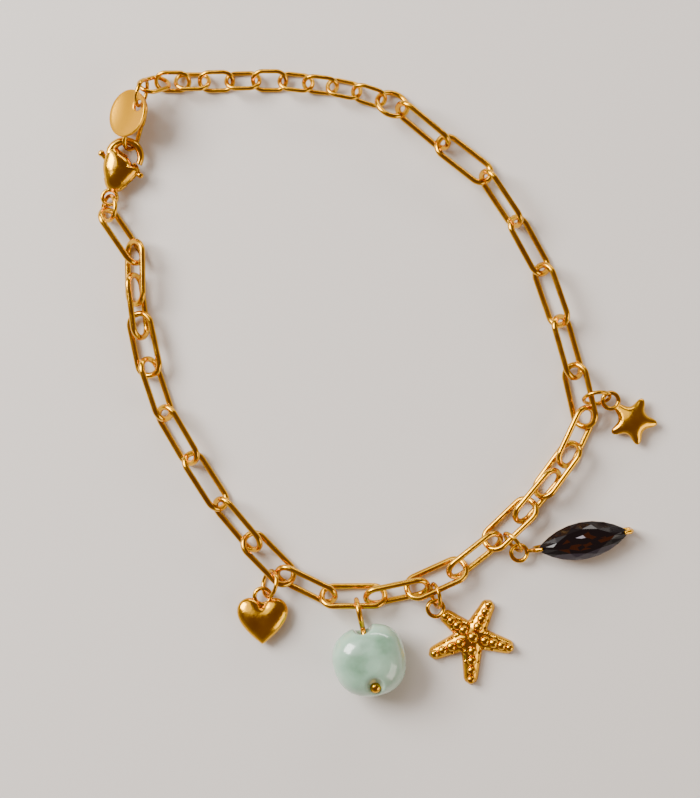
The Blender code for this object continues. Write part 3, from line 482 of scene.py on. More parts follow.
def slab(outline, low, high):
    """A straight-sided block over an outline."""
    bm = bmesh.new()
    verts = [bm.verts.new((x, y, low)) for x, y in outline]
    base = bm.faces.new(verts)
    raised = bmesh.ops.extrude_face_region(bm, geom=[base])["geom"]
    top = [item for item in raised if isinstance(item, bmesh.types.BMVert)]
    bmesh.ops.translate(bm, verts=top, vec=(0.0, 0.0, high - low))
    bmesh.ops.recalc_face_normals(bm, faces=bm.faces)
    return as_mesh(bm, "slab")


def blown_up(outline):
    """A skin blown up over an outline: a function from a point to a share of its full height."""
    corners = np.array(outline)
    low, high = corners.min(0), corners.max(0)
    step = (high - low).max() / SKIN_CELLS
    low = low - 2 * step
    across, along = ((high - low) / step).astype(int) + 3
    x, y = np.meshgrid(low[0] + step * np.arange(across), low[1] + step * np.arange(along),
                       indexing="ij")
    inside = np.zeros(x.shape, bool)
    for (ax, ay), (bx, by) in zip(corners, np.roll(corners, -1, axis=0)):
        if ay != by:
            level = (ay > y) != (by > y)
            inside ^= level & (x < (bx - ax) * (y - ay) / (by - ay) + ax)
    skin = np.zeros(x.shape)
    for _ in range(SKIN_ROUNDS):
        around = skin[:-2, 1:-1] + skin[2:, 1:-1] + skin[1:-1, :-2] + skin[1:-1, 2:]
        skin[1:-1, 1:-1] = (around + 1.0) / 4 * inside[1:-1, 1:-1]
    skin = skin / skin.max()

    def height(px, py):
        u, v = (px - low[0]) / step, (py - low[1]) / step
        i, j = int(u), int(v)
        u, v = u - i, v - j
        near = skin[i, j] * (1 - v) + skin[i, j + 1] * v
        far = skin[i + 1, j] * (1 - v) + skin[i + 1, j + 1] * v
        return math.sqrt(max(near * (1 - u) + far * u, 0.0))

    return height


def puffed(outline, middle, half_height, levels, fullness=2.6, skin=None):
    """A pillow over an outline: it shrinks towards the middle as it rises, above and below."""
    bm = bmesh.new()
    rings = []
    for level in range(1, 2 * levels):
        turn = math.pi * level / (2 * levels)
        scale = math.sin(turn)
        side = math.copysign(1.0, -math.cos(turn))
        ring = []
        for x, y in outline:
            px = middle[0] + (x - middle[0]) * scale
            py = middle[1] + (y - middle[1]) * scale
            if level == levels:
                rise = 0.0
            elif skin is None:
                rise = (1.0 - scale ** fullness) ** 0.5
            else:
                rise = skin(px, py)
            ring.append(bm.verts.new((px, py, side * rise * half_height)))
        rings.append(ring)
    top = half_height if skin is None else half_height * skin(*middle)
    low = bm.verts.new((middle[0], middle[1], -top))
    high = bm.verts.new((middle[0], middle[1], top))
    count = len(outline)
    for i in range(count):
        j = (i + 1) % count
        bm.faces.new((low, rings[0][j], rings[0][i]))
        bm.faces.new((high, rings[-1][i], rings[-1][j]))
        for below, above in zip(rings, rings[1:]):
            bm.faces.new((below[i], below[j], above[j], above[i]))
    bmesh.ops.recalc_face_normals(bm, faces=bm.faces)
    return as_mesh(bm, "puffed")


def wired(tree, kind, links, **settings):
    """A new node with its settings; links go from the name of an input to its source."""
    made = tree.nodes.new(kind)
    for name, value in settings.items():
        setattr(made, name, value)
    for name, source in links.items():
        tree.links.new(source, made.inputs[name])
    return made


def named_attribute(tree, name, kind):
    reader = wired(tree, "GeometryNodeInputNamedAttribute", {}, data_type=kind)
    reader.inputs["Name"].default_value = name
    return reader.outputs["Attribute"]


def new_tree(name, inputs):
    """An empty tree with its named inputs."""
    tree = bpy.data.node_groups.new(name, "GeometryNodeTree")
    tree.interface.new_socket("Geometry", in_out="INPUT", socket_type="NodeSocketGeometry")
    for label, kind in inputs:
        tree.interface.new_socket(label, in_out="INPUT", socket_type="NodeSocket" + kind)
    tree.interface.new_socket("Geometry", in_out="OUTPUT", socket_type="NodeSocketGeometry")
    return tree, tree.nodes.new("NodeGroupInput"), tree.nodes.new("NodeGroupOutput")


def end_tree(tree, entry, leave, mesh, fitted):
    """Puts the mesh on every point, turned or scaled to fit, as real faces with a material."""
    soft = wired(tree, "GeometryNodeSetShadeSmooth", {"Geometry": mesh})
    spread = wired(tree, "GeometryNodeInstanceOnPoints", {
        "Points": entry.outputs["Geometry"], "Instance": soft.outputs["Geometry"], **fitted})
    real = wired(tree, "GeometryNodeRealizeInstances", {"Geometry": spread.outputs["Instances"]})
    paint = wired(tree, "GeometryNodeSetMaterial", {
        "Geometry": real.outputs["Geometry"], "Material": entry.outputs["Material"]})
    tree.links.new(paint.outputs["Geometry"], leave.inputs["Geometry"])


def wire_loop_tree():
    """A loop of round wire on every point: soldered shut, or cut as a jump ring is."""
    tree, entry, leave = new_tree("wire_loops", [
        ("Length", "Float"), ("Width", "Float"), ("Wire", "Float"), ("Corner Radius", "Float"),
        ("Corner Steps", "Int"), ("Wire Sides", "Int"), ("Cut Share", "Float"),
        ("Is Cut", "Bool"), ("Material", "Material")])
    given = entry.outputs
    spans = []
    for side in ("Length", "Width"):
        less = wired(tree, "ShaderNodeMath", {0: given[side], 1: given["Wire"]},
                     operation="SUBTRACT")
        spans.append(less.outputs[0])
    outline = wired(tree, "GeometryNodeCurvePrimitiveQuadrilateral", {
        "Width": spans[0], "Height": spans[1]})
    corners = wired(tree, "GeometryNodeFilletCurve", {
        "Curve": outline.outputs["Curve"], "Radius": given["Corner Radius"],
        "Count": given["Corner Steps"]}, mode="POLY")
    corners.inputs["Limit Radius"].default_value = True
    rest = wired(tree, "ShaderNodeMath", {1: given["Cut Share"]}, operation="SUBTRACT")
    rest.inputs[0].default_value = 1.0
    trim = wired(tree, "GeometryNodeTrimCurve", {
        "Curve": corners.outputs["Curve"], "End": rest.outputs[0]}, mode="FACTOR")
    choice = wired(tree, "GeometryNodeSwitch", {
        "Switch": given["Is Cut"], "False": corners.outputs["Curve"],
        "True": trim.outputs["Curve"]}, input_type="GEOMETRY")
    half = wired(tree, "ShaderNodeMath", {0: given["Wire"]}, operation="MULTIPLY")
    half.inputs[1].default_value = 0.5
    section = wired(tree, "GeometryNodeCurvePrimitiveCircle", {
        "Radius": half.outputs[0], "Resolution": given["Wire Sides"]}, mode="RADIUS")
    drawn = wired(tree, "GeometryNodeCurveToMesh", {
        "Curve": choice.outputs["Output"], "Profile Curve": section.outputs["Curve"]})
    drawn.inputs["Fill Caps"].default_value = True
    turn = named_attribute(tree, "turn", "FLOAT_VECTOR")
    rotation = wired(tree, "FunctionNodeEulerToRotation", {"Euler": turn})
    fitted = {"Rotation": rotation.outputs["Rotation"]}
    end_tree(tree, entry, leave, drawn.outputs["Mesh"], fitted)
    return tree


def knob_tree():
    """A round knob on every point, as wide as the point's own size."""
    tree, entry, leave = new_tree("knobs", [
        ("Steps", "Int"), ("Height Share", "Float"), ("Material", "Material")])
    given = entry.outputs
    knob = wired(tree, "GeometryNodeMeshUVSphere", {
        "Segments": given["Steps"], "Rings": given["Steps"]})
    knob.inputs["Radius"].default_value = 1.0
    size = named_attribute(tree, "size", "FLOAT")
    lift = wired(tree, "ShaderNodeMath", {0: size, 1: given["Height Share"]},
                 operation="MULTIPLY")
    scale = wired(tree, "ShaderNodeCombineXYZ", {"X": size, "Y": size, "Z": lift.outputs[0]})
    fitted = {"Scale": scale.outputs["Vector"]}
    end_tree(tree, entry, leave, knob.outputs["Mesh"], fitted)
    return tree


def grown(tree, places, attribute, kind, values, inputs):
    """Runs a tree on points that each carry one stored value."""
    mesh = bpy.data.meshes.new("places")
    mesh.from_pydata([tuple(place) for place in places], [], [])
    stored = mesh.attributes.new(attribute, kind, "POINT")
    for item, value in zip(stored.data, values):
        if kind == "FLOAT":
            item.value = value
        else:
            item.vector = value
    obj = scene_object("grown", mesh)
    modifier = obj.modifiers.new("Grow", "NODES")
    modifier.node_group = tree
    for socket in tree.interface.items_tree:
        if socket.in_out == "INPUT" and socket.name in inputs:
            modifier[socket.identifier] = inputs[socket.name]
    return baked(obj)


def wire_loops(tree, sizes, matrices, material, cut=False, rounded=ROUNDED_SHARE):
    """Wire loops of one size, one for each matrix."""
    length, width, wire = sizes
    inputs = {
        "Length": length, "Width": width, "Wire": wire,
        "Corner Radius": (width - wire) / 2 * rounded,
        "Corner Steps": CORNER_STEPS, "Wire Sides": WIRE_SIDES,
        "Cut Share": RING_CUT, "Is Cut": cut, "Material": material,
    }
    places = [matrix.translation for matrix in matrices]
    turns = [matrix.to_euler("XYZ") for matrix in matrices]
    return grown(tree, places, "turn", "FLOAT_VECTOR", turns, inputs)


def loop_pose(node):
    """How a wire loop of the CAD lies: X along it, Y across it, Z out of its plane."""
    spots = np.array([vert.co for vert in node.data.vertices])
    low, high = spots.min(0), spots.max(0)
    middle = (low + high) / 2
    axes = np.linalg.svd(spots - spots.mean(0), full_matrices=False)[2]
    along, normal = Vector(axes[0]).normalized(), Vector(axes[2]).normalized()
    if along.x + 0.5 * along.y < 0.0:
        along = -along
    if normal.z < 0.0:
        normal = -normal
    across = normal.cross(along)
    matrix = Matrix((along, across, normal)).transposed().to_4x4()
    matrix.translation = Vector(middle)
    return matrix


def new_material(name, colour, roughness, metallic=0.0):
    """A material, its node tree and its shader."""
    material = bpy.data.materials.new(name)
    material.use_nodes = True
    shader = material.node_tree.nodes["Principled BSDF"]
    shader.inputs["Base Color"].default_value = (*colour, 1.0)
    shader.inputs["Roughness"].default_value = roughness
    shader.inputs["Metallic"].default_value = metallic
    return material, material.node_tree, shader


def object_noise(tree, scale, detail=2.0):
    """Noise in the object's own space."""
    place = tree.nodes.new("ShaderNodeTexCoord")
    noise = tree.nodes.new("ShaderNodeTexNoise")
    noise.inputs["Scale"].default_value = scale
    noise.inputs["Detail"].default_value = detail
    tree.links.new(place.outputs["Object"], noise.inputs["Vector"])
    return noise.outputs["Fac"]


def ramp(tree, factor, stops):
    """Colours along a factor, from stops that each have a position and a colour."""
    made = tree.nodes.new("ShaderNodeValToRGB")
    elements = made.color_ramp.elements
    while len(elements) < len(stops):
        elements.new(0.5)
    for element, (position, colour) in zip(elements, stops):
        element.position = position
        element.color = (*colour, 1.0)
    tree.links.new(factor, made.inputs["Fac"])
    return made.outputs["Color"]


def ranged(tree, factor, low, high):
    """The noise's usual range, stretched to go from low to high."""
    made = tree.nodes.new("ShaderNodeMapRange")
    ends = {"From Min": NOISE_LOW, "From Max": NOISE_HIGH, "To Min": low, "To Max": high}
    for name, value in ends.items():
        made.inputs[name].default_value = value
    tree.links.new(factor, made.inputs["Value"])
    return made.outputs["Result"]


def add_bump(tree, shader, height, distance):
    bump = tree.nodes.new("ShaderNodeBump")
    bump.inputs["Distance"].default_value = distance
    tree.links.new(height, bump.inputs["Height"])
    tree.links.new(bump.outputs["Normal"], shader.inputs["Normal"])


def polished_gold():
    """Polished plating, a little uneven in tint and shine."""
    material, tree, shader = new_material("polished_gold", (0.80, 0.46, 0.03), 0.16, 1.0)
    link = tree.links.new
    tint = ramp(tree, object_noise(tree, 260.0), GOLD_TINTS)
    link(tint, shader.inputs["Base Color"])
    link(ranged(tree, object_noise(tree, 900.0, 3.0), 0.12, 0.24), shader.inputs["Roughness"])
    add_bump(tree, shader, object_noise(tree, 2600.0, 2.0), 0.012 * MM)
    return material


def satin_gold():
    """The duller gold of the tag."""
    material, tree, shader = new_material("satin_gold", (0.90, 0.54, 0.08), 0.30, 1.0)
    tint = ramp(tree, object_noise(tree, 120.0, 1.0), SATIN_TINTS)
    tree.links.new(tint, shader.inputs["Base Color"])
    return material


def green_stone():
    """Pale mint stone, a little cloudy, under a clear polish."""
    material, tree, shader = new_material("green_stone", (0.46, 0.66, 0.56), 0.22)
    cloud = ramp(tree, object_noise(tree, 170.0, 4.0), STONE_TINTS)
    tree.links.new(cloud, shader.inputs["Base Color"])
    shader.inputs["Subsurface Weight"].default_value = 0.25
    shader.inputs["Subsurface Radius"].default_value = (0.5, 1.0, 0.8)
    shader.inputs["Subsurface Scale"].default_value = 1.0 * MM
    shader.inputs["Coat Weight"].default_value = 1.0
    shader.inputs["Coat Roughness"].default_value = 0.04
    return material


def dark_stone():
    """Smoky near-black stone; the tint of each facet is stored on the mesh, together with a painted
    reflection and a painted glint.
    """
    material, tree, shader = new_material("dark_stone", (0.01, 0.006, 0.006), 0.11)
    facet = tree.nodes.new("ShaderNodeAttribute")
    facet.attribute_name = "facet_tint_with_painted_light"
    tree.links.new(facet.outputs["Color"], shader.inputs["Base Color"])
    shader.inputs["Specular IOR Level"].default_value = 0.26
    return material


def make_chain(nodes, tree, gold):
    """Every link, each kind in one piece, and every ring with a cut."""
    for stem, (count, sizes, rounded) in LINKS.items():
        names = [f"{stem}_{number:02d}" for number in range(1, count + 1)]
        poses = [loop_pose(nodes[name]) for name in names]
        mesh = wire_loops(tree, sizes, poses, gold, rounded=rounded)
        piece(stem + "s", mesh, gold, names)
    for name, (width, wire) in CUT_RINGS.items():
        sizes = (width * MM, width * MM, wire * MM)
        mesh = wire_loops(tree, sizes, [loop_pose(nodes[name])], gold, cut=True)
        piece(name + "_wire", mesh, gold, [name])


def charm_loop(tree, gold, rise=0.0):
    """The soldered loop at a charm's origin."""
    return wire_loops(tree, CHARM_LOOP, [Matrix.Translation(UP * rise)], gold)


def neck_rod(rise, length):
    """A short rod from a charm's loop into its body, wider at both ends."""
    start = Vector((CHARM_START - NECK_OVERLAP, 0.0, rise))
    finish = Vector((CHARM_START + length, 0.0, rise))
    path = [start.lerp(finish, i / 4) for i in range(5)]
    sizes = [
        (NECK_FLARE, NECK_WAIST), (NECK_WAIST, NECK_WAIST), (NECK_WAIST, NECK_WAIST),
        (NECK_WAIST * 1.2, NECK_WAIST), (NECK_FLARE, NECK_FLARE),
    ]
    return swept(path, sizes, UP)


def heart_outline():
    """A few points of the usual heart curve, 32 wide and 29 long, cut to a soft outline."""
    points = []
    for i in range(HEART_POINTS):
        t = 2 * math.pi * i / HEART_POINTS
        lower_half = math.cos(t) < 0.0
        power = HEART_TIP_POWER if lower_half else HEART_LOBE_POWER
        across = 16 * math.copysign(abs(math.sin(t)) ** power, math.sin(t))
        down = 13 * math.cos(t) - 5 * math.cos(2 * t) - 2 * math.cos(3 * t) - math.cos(4 * t)
        points.append((across / 32, down / 29))
    notch = points[0][1]
    start = CHARM_START + NECK
    plump = []
    for across, down in points:
        depth = notch - down
        lower = min(max((depth - HEART_BELLY_START) / HEART_BELLY_SPAN, 0.0), 1.0)
        wider = 1.0 + HEART_PLUMPNESS * math.sin(math.pi * lower ** HEART_BELLY_POWER)
        along = depth * HEART_LENGTH * HEART_STRETCH + start
        plump.append(Vector((along, across * wider * HEART_SPREAD * HEART_WIDTH)))
    return [tuple(point) for point in rounded_off(plump, HEART_ROUNDS)]


def make_heart(tree, gold):
    """A heart puffed out over its outline, with its neck and loop."""
    outline = heart_outline()
    middle = (CHARM_START + NECK + HEART_LENGTH * HEART_MIDDLE_SHARE, 0.0)
    half = HEART_HALF_THICKNESS * HEART_CROWN
    body = puffed(outline, middle, half, SKIN_LEVELS, skin=blown_up(outline))
    body = cast("heart", [body], *HEART_CAST)
    neck = neck_rod(0.0, NECK + HEART_NECK_INTO_BODY)
    mesh = joined("heart", [body, charm_loop(tree, gold), neck])
    piece("heart_casting", mesh, gold, ["heart_charm"], HEART_PLACE)


def rounded_off(points, rounds):
    """Cuts the corners of a closed outline again and again until it is smooth."""
    for _ in range(rounds):
        cut = []
        for first, second in zip(points, points[1:] + points[:1]):
            cut += [first.lerp(second, 0.25), first.lerp(second, 0.75)]
        points = cut
    return points


def star_outline():
    """Five blunt points; the first points back to the loop."""
    corners = []
    for i in range(10):
        is_tip = i % 2 == 0
        radius = STAR_TIP_RADIUS * STAR_GROWTH if is_tip else STAR_INNER_RADIUS
        for shift in (-STAR_TIP_BLUNT, STAR_TIP_BLUNT) if is_tip else (0.0,):
            turn = math.pi + math.pi * (i + shift) / 5
            corners.append(Vector((STAR_MIDDLE + radius * math.cos(turn), radius * math.sin(turn))))
    return [tuple(point) for point in rounded_off(corners, STAR_ROUNDS)]


def make_star(tree, gold):
    """A plump star whose ridges and hollows are polished soft."""
    outline = star_outline()
    half = STAR_HALF_THICKNESS * STAR_GROWTH
    body = puffed(outline, (STAR_MIDDLE, 0.0), half, SKIN_LEVELS, skin=blown_up(outline))
    body = cast("star", [body], *STAR_CAST)
    neck = neck_rod(STAR_LOOP_RISE / 2, STAR_NECK)
    mesh = joined("star", [body, charm_loop(tree, gold, STAR_LOOP_RISE), neck])
    piece("star_casting", mesh, gold, ["star_charm"], STAR_PLACE)


def starfish_half_width(along):
    """Half an arm's width, from 0 at the middle to 1 at the tip."""
    return (ARM_ROOT_HALF_WIDTH - ARM_TAPER * along ** ARM_TAPER_POWER) * MM


def starfish_arm(outward, share):
    """A round arm that tapers and drops to a blunt tip."""
    path, sizes = [], []
    reach = STARFISH_RADIUS * share
    for i in range(ARM_STEPS + 1):
        along = i / ARM_STEPS
        width = starfish_half_width(along)
        height = (ARM_ROOT_HEIGHT - ARM_DROP * along) * MM
        past = max(0.0, (along - (1.0 - ARM_TIP_SPAN)) / ARM_TIP_SPAN)
        tip = math.sqrt(max(1.0 - past ** 2, 0.02))
        path.append(STARFISH_MIDDLE + outward * reach * along)
        sizes.append((width * tip, height * tip))
    return swept(path, sizes, UP)


def arm_direction(degrees):
    turn = math.radians(180.0 + degrees)
    return Vector((math.cos(turn), math.sin(turn), 0.0))


def starfish_spots():
    """The place and radius of each knob, and of each bead at the sides of the arms."""
    knobs = [(STARFISH_MIDDLE + UP * HUB_KNOB_HEIGHT, HUB_KNOB_RADIUS)]
    beads = []
    for degrees, share in STARFISH_ARMS:
        outward = arm_direction(degrees)
        across = Vector((-outward.y, outward.x, 0.0))
        for along, radius in STARFISH_KNOBS:
            spot = STARFISH_MIDDLE + outward * STARFISH_RADIUS * share * along
            knobs.append((spot + UP * (KNOB_HEIGHT - KNOB_DROP * along) * MM, radius * MM))
        for along, radius in STARFISH_SIDE_BEADS:
            for side in (-1.0, 1.0):
                spot = STARFISH_MIDDLE + outward * STARFISH_RADIUS * share * along
                spot += across * starfish_half_width(along) * side * BEAD_ASIDE_SHARE
                beads.append((spot + UP * (BEAD_HEIGHT - BEAD_DROP * along) * MM, radius * MM))
    return knobs, beads


def knobbed(tree, spots, steps, height_share, material):
    """A knob on every spot; a height share under 1 makes it flatter than a ball."""
    inputs = {"Steps": steps, "Height Share": height_share, "Material": material}
    places = [place for place, _ in spots]
    sizes = [size for _, size in spots]
    return grown(tree, places, "size", "FLOAT", sizes, inputs)


def make_starfish(tree, knob, gold):
    """Five round arms with their beads melted in, cut flat below, and the knobs on top."""
    knobs, beads = starfish_spots()
    meshes = [ball(STARFISH_MIDDLE, STARFISH_HUB)]
    for degrees, share in STARFISH_ARMS:
        meshes.append(starfish_arm(arm_direction(degrees), share))
    meshes.append(knobbed(knob, beads, BEAD_STEPS, 1.0, gold))
    whole = cast("starfish", meshes, *STARFISH_CAST)
    under = slab([(x * MM, y * MM) for x, y in UNDER_STARFISH], -UNDER_STARFISH_DEPTH, 0.0)
    whole = carved(whole, under)
    raised = knobbed(knob, knobs, KNOB_STEPS, KNOB_HEIGHT_SHARE, gold)
    loop = charm_loop(tree, gold, STARFISH_LOOP_RISE)
    neck_rise = STARFISH_LOOP_RISE * STARFISH_NECK_RISE_SHARE
    neck = neck_rod(neck_rise, NECK + STARFISH_NECK_INTO_BODY)
    mesh = joined("starfish", [whole, raised, loop, neck])
    piece("starfish_casting", mesh, gold, ["starfish_charm"], STARFISH_PLACE)


def soft_max(a, b, softness):
    """The larger of two lengths, with a rounded change between them."""
    gap = (a - b) / softness
    if abs(gap) > 30.0:
        return max(a, b)
    return b + softness * math.log1p(math.exp(gap))


def pin_middle_height():
    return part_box("headpin")[0].z + PIN_EYE[0] / 2


def ball_place():
    """The middle of the pin's ball, seen from the middle of its eye."""
    away = (PIN_EYE[0] - PIN_EYE[2]) / 2 + PIN_STEM
    return Vector((away * math.cos(PIN_RISE), 0.0, away * math.sin(PIN_RISE)))


def nugget_point(spot, eye_spot, seat):
    """Where a point of a plain ball comes to lie on the nugget."""
    x, y, z = spot
    flat = min(math.hypot(x, y), 1.0)
    turn = math.atan2(y, x)
    square = NUGGET_SQUARENESS * math.cos(4 * turn)
    swell = NUGGET_SWELL - square + NUGGET_LOPSIDEDNESS * math.cos(3 * turn - 0.8)
    rise = math.copysign((1.0 - flat ** NUGGET_FULLNESS) ** 0.5, z)
    lump = 1.0 + NUGGET_LUMP * math.sin(3.1 * x + 1.0) * math.cos(2.7 * y - 0.4)
    px = NUGGET_MIDDLE + swell * NUGGET_LENGTH / 2 * x
    py = swell * NUGGET_WIDTH / 2 * y
    pz = NUGGET_HALF_HEIGHT * min(rise * lump, 1.0)
    beyond = max(eye_spot.z - pz, pz - NUGGET_CLEFT_TOP, 0.0)
    aside = math.hypot(py - eye_spot.y, beyond) / MM
    px = soft_max(px, (DENT_REACH - DENT_CURVE * aside ** 2) * MM, DENT_SOFTNESS)
    if z > 0.0:
        out = math.hypot((px - seat.x - BOWL_SHIFT) * BOWL_STRETCH, py - seat.y) / MM
        bowl = seat.z + (BOWL_DEPTH + BOWL_CURVE * out ** 2) * MM
        pz = -soft_max(-pz, -bowl, BOWL_SOFTNESS)
    return px, py, pz


def make_nugget(stone):
    """An uneven pebble with a dent at the pin's eye and a bowl round its ball."""
    lower = pin_middle_height() - NUGGET_PLACE[2] * MM
    eye_spot = Vector(((PIN_EYE[0] - PIN_EYE[2]) / 2, 0.0, lower))
    seat = ball_place() + UP * lower
    bm = bmesh.new()
    bmesh.ops.create_icosphere(bm, subdivisions=6, radius=1.0)
    for vert in bm.verts:
        vert.co = nugget_point(vert.co, eye_spot, seat)
    mesh = as_mesh(bm, "nugget")
    piece("nugget_stone", mesh, stone, ["stone_nugget"], NUGGET_PLACE)


def make_headpin(tree, gold):
    """The pin's upright eye, its stem through the stone and its ball."""
    upright = Matrix.Rotation(math.pi / 2, 4, "X")
    eye = wire_loops(tree, PIN_EYE, [upright], gold)
    start = Vector(((PIN_EYE[0] - PIN_EYE[2]) / 2, 0.0, 0.0))
    finish = ball_place()
    half = PIN_EYE[2] / 2
    path = [start.lerp(finish, i / PIN_STEPS) for i in range(PIN_STEPS + 1)]
    stem = swept(path, [(half, half)] * len(path), ASIDE)
    radius = PIN_BALL_RADIUS
    knob = ball(finish, (radius, radius, radius), 32)
    mesh = joined("headpin", [eye, stem, knob])
    x, y, _, turn = NUGGET_PLACE
    place = (x, y, pin_middle_height() / MM, turn)
    piece("headpin_wire", mesh, gold, ["headpin"], place)


def lens_point(scale, turn):
    """A point on the marquise outline: two equal arcs that meet in points."""
    half_length = MARQUISE_LENGTH / 2 * scale
    half_width = MARQUISE_WIDTH / 2 * scale
    radius = (half_length ** 2 + half_width ** 2) / (2 * half_width)
    x = half_length * math.cos(turn)
    y = max(math.sqrt(radius ** 2 - x ** 2) - (radius - half_width), 0.0)
    at_point = abs(math.sin(turn)) < 1e-6
    return MARQUISE_MIDDLE + x, 0.0 if at_point else math.copysign(y, math.sin(turn))


def lens_ring(bm, points, shift, scale, height):
    """Points round the marquise outline, turned on by a share of a step."""
    ring = []
    for i in range(points):
        x, y = lens_point(scale, 2 * math.pi * (i + shift) / points)
        ring.append(bm.verts.new((x, y, height)))
    return ring


def crown_or_pavilion(bm, sign, depth, table_share):
    """Girdle facets, kites and star facets on one side of the stone; returns rim and table."""
    count = MARQUISE_FACETS
    base = MARQUISE_GIRDLE_HEIGHT + sign * MARQUISE_GIRDLE / 2
    rim = lens_ring(bm, 2 * count, 0.0, 1.0, base)
    kite_scale = (1.0 + table_share) / 2 + KITE_OUTSET
    kite = lens_ring(bm, count, 0.5, kite_scale, base + sign * depth * KITE_HEIGHT_SHARE)
    table = lens_ring(bm, count, 0.0, table_share, base + sign * depth)
    for i in range(count):
        j = (i + 1) % count
        bm.faces.new((table[i], table[j], kite[i]))
        bm.faces.new((table[i], kite[i], rim[2 * i], kite[i - 1]))
        bm.faces.new((kite[i], rim[2 * i], rim[2 * i + 1]))
        bm.faces.new((kite[i], rim[2 * i + 1], rim[(2 * i + 2) % (2 * count)]))
    return rim, table


def table_facets(bm, table, height):
    """The back facets as they show through the table: rings of triangles in its plane."""
    count = MARQUISE_FACETS
    outer = table
    for number, share in enumerate(TABLE_RING_SHARES):
        shift = 0.5 if number % 2 == 0 else 0.0
        inner = lens_ring(bm, count, shift, MARQUISE_TABLE_SHARE * share, height)
        for i in range(count):
            after = (i + 1) % count
            if shift:
                bm.faces.new((outer[i], outer[after], inner[i]))
                bm.faces.new((outer[after], inner[after], inner[i]))
            else:
                bm.faces.new((outer[i], outer[after], inner[after]))
                bm.faces.new((outer[i], inner[after], inner[i]))
        outer = inner
    bm.faces.new(outer)


def make_marquise(stone):
    """A wide table that shows the back facets, a low crown, a girdle and a pavilion."""
    bm = bmesh.new()
    upper, table = crown_or_pavilion(bm, 1, MARQUISE_CROWN, MARQUISE_TABLE_SHARE)
    lower, keel = crown_or_pavilion(bm, -1, MARQUISE_PAVILION, MARQUISE_KEEL_SHARE)
    bm.faces.new(keel)
    for i in range(len(upper)):
        j = (i + 1) % len(upper)
        bm.faces.new((upper[i], upper[j], lower[j], lower[i]))
    table_facets(bm, table, MARQUISE_GIRDLE_HEIGHT + MARQUISE_GIRDLE / 2 + MARQUISE_CROWN)
    bmesh.ops.recalc_face_normals(bm, faces=bm.faces)
    mesh = as_mesh(bm, "marquise")
    paint_facets(mesh)
    piece("marquise_stone_cut", mesh, stone, ["marquise_stone"],
          MARQUISE_PLACE, smooth=False)


def paint_facets(mesh):
    """Near-black, with red-brown glints deep in the table, a purple-grey painted reflection on the
    facets at one side, and a pale painted glint on the table.
    """
    chance = random.Random(FACET_SEED)
    tint = mesh.attributes.new("facet_tint_with_painted_light", "FLOAT_COLOR", "CORNER")
    for face in mesh.polygons:
        middle = face.center - Vector((MARQUISE_MIDDLE, 0.0, 0.0))
        on_table = face.normal.z > FLAT_ENOUGH
        draw = chance.random()
        colour = NEAR_BLACK
        if on_table and draw > RED_BROWN_FROM:
            colour = RED_BROWN
        # Facets off the table at one side get a purple-grey painted reflection.
        if middle.y < -PAINTED_REFLECTION_BAND_SHARE * MARQUISE_WIDTH / 2 and not on_table:
            colour = PURPLE_GREY_PAINTED_REFLECTION
        # A few table facets near one spot get a pale painted glint, standing in for light reflected
        # by the back facets.
        in_painted_glint = (middle - PAINTED_GLINT_PLACE).length < PAINTED_GLINT_RADIUS
        if on_table and in_painted_glint and draw > PAINTED_GLINT_FROM:
            colour = PAINTED_GLINT_COLOUR
        for corner in face.loop_indices:
            tint.data[corner].color = (*colour, 1.0)


def make_setting(tree, gold):
    """The plate under the marquise with a claw over each point, and its loop."""
    outline = [lens_point(PLATE_SHARE, 2 * math.pi * i / PLATE_POINTS) for i in range(PLATE_POINTS)]
    meshes = [slab(outline, PLATE_BOTTOM, PLATE_TOP)]
    for side in (-1.0, 1.0):
        tip = MARQUISE_MIDDLE + side * MARQUISE_LENGTH / 2
        path = [Vector((tip + side * x * MM, 0.0, z * MM)) for x, z, _ in CLAW_PROFILE]
        sizes = [(CLAW_HALF_THICKNESS, width * MM) for _, _, width in CLAW_PROFILE]
        meshes.append(swept(path, sizes, ASIDE))
    body = cast("setting", meshes, *SETTING_CAST)
    loop = charm_loop(tree, gold, SETTING_LOOP_RISE)
    neck = neck_rod(SETTING_LOOP_RISE, NECK + SETTING_NECK_INTO_BODY)
    mesh = joined("setting", [body, loop, neck])
    piece("marquise_setting_casting", mesh, gold, ["marquise_setting"],
          MARQUISE_PLACE)


def tag_sections():
    """The disc's cross-section: how far from hole to rim, how far the edge bulges, the height."""
    sections = []
    for side in (1.0, -1.0):
        shares = [i / TAG_FLAT_STEPS for i in range(TAG_FLAT_STEPS + 1)]
        if side < 0.0:
            shares.reverse()
        for share in shares:
            sections.append((share, 0.0, side * TAG_HALF_THICKNESS))
        at_rim = side > 0.0
        for i in range(1, TAG_EDGE_STEPS):
            turn = math.pi * i / TAG_EDGE_STEPS
            height = side * (TAG_HALF_THICKNESS * math.cos(turn))
            sections.append((1.0 if at_rim else 0.0, TAG_EDGE * math.sin(turn), height))
    return sections


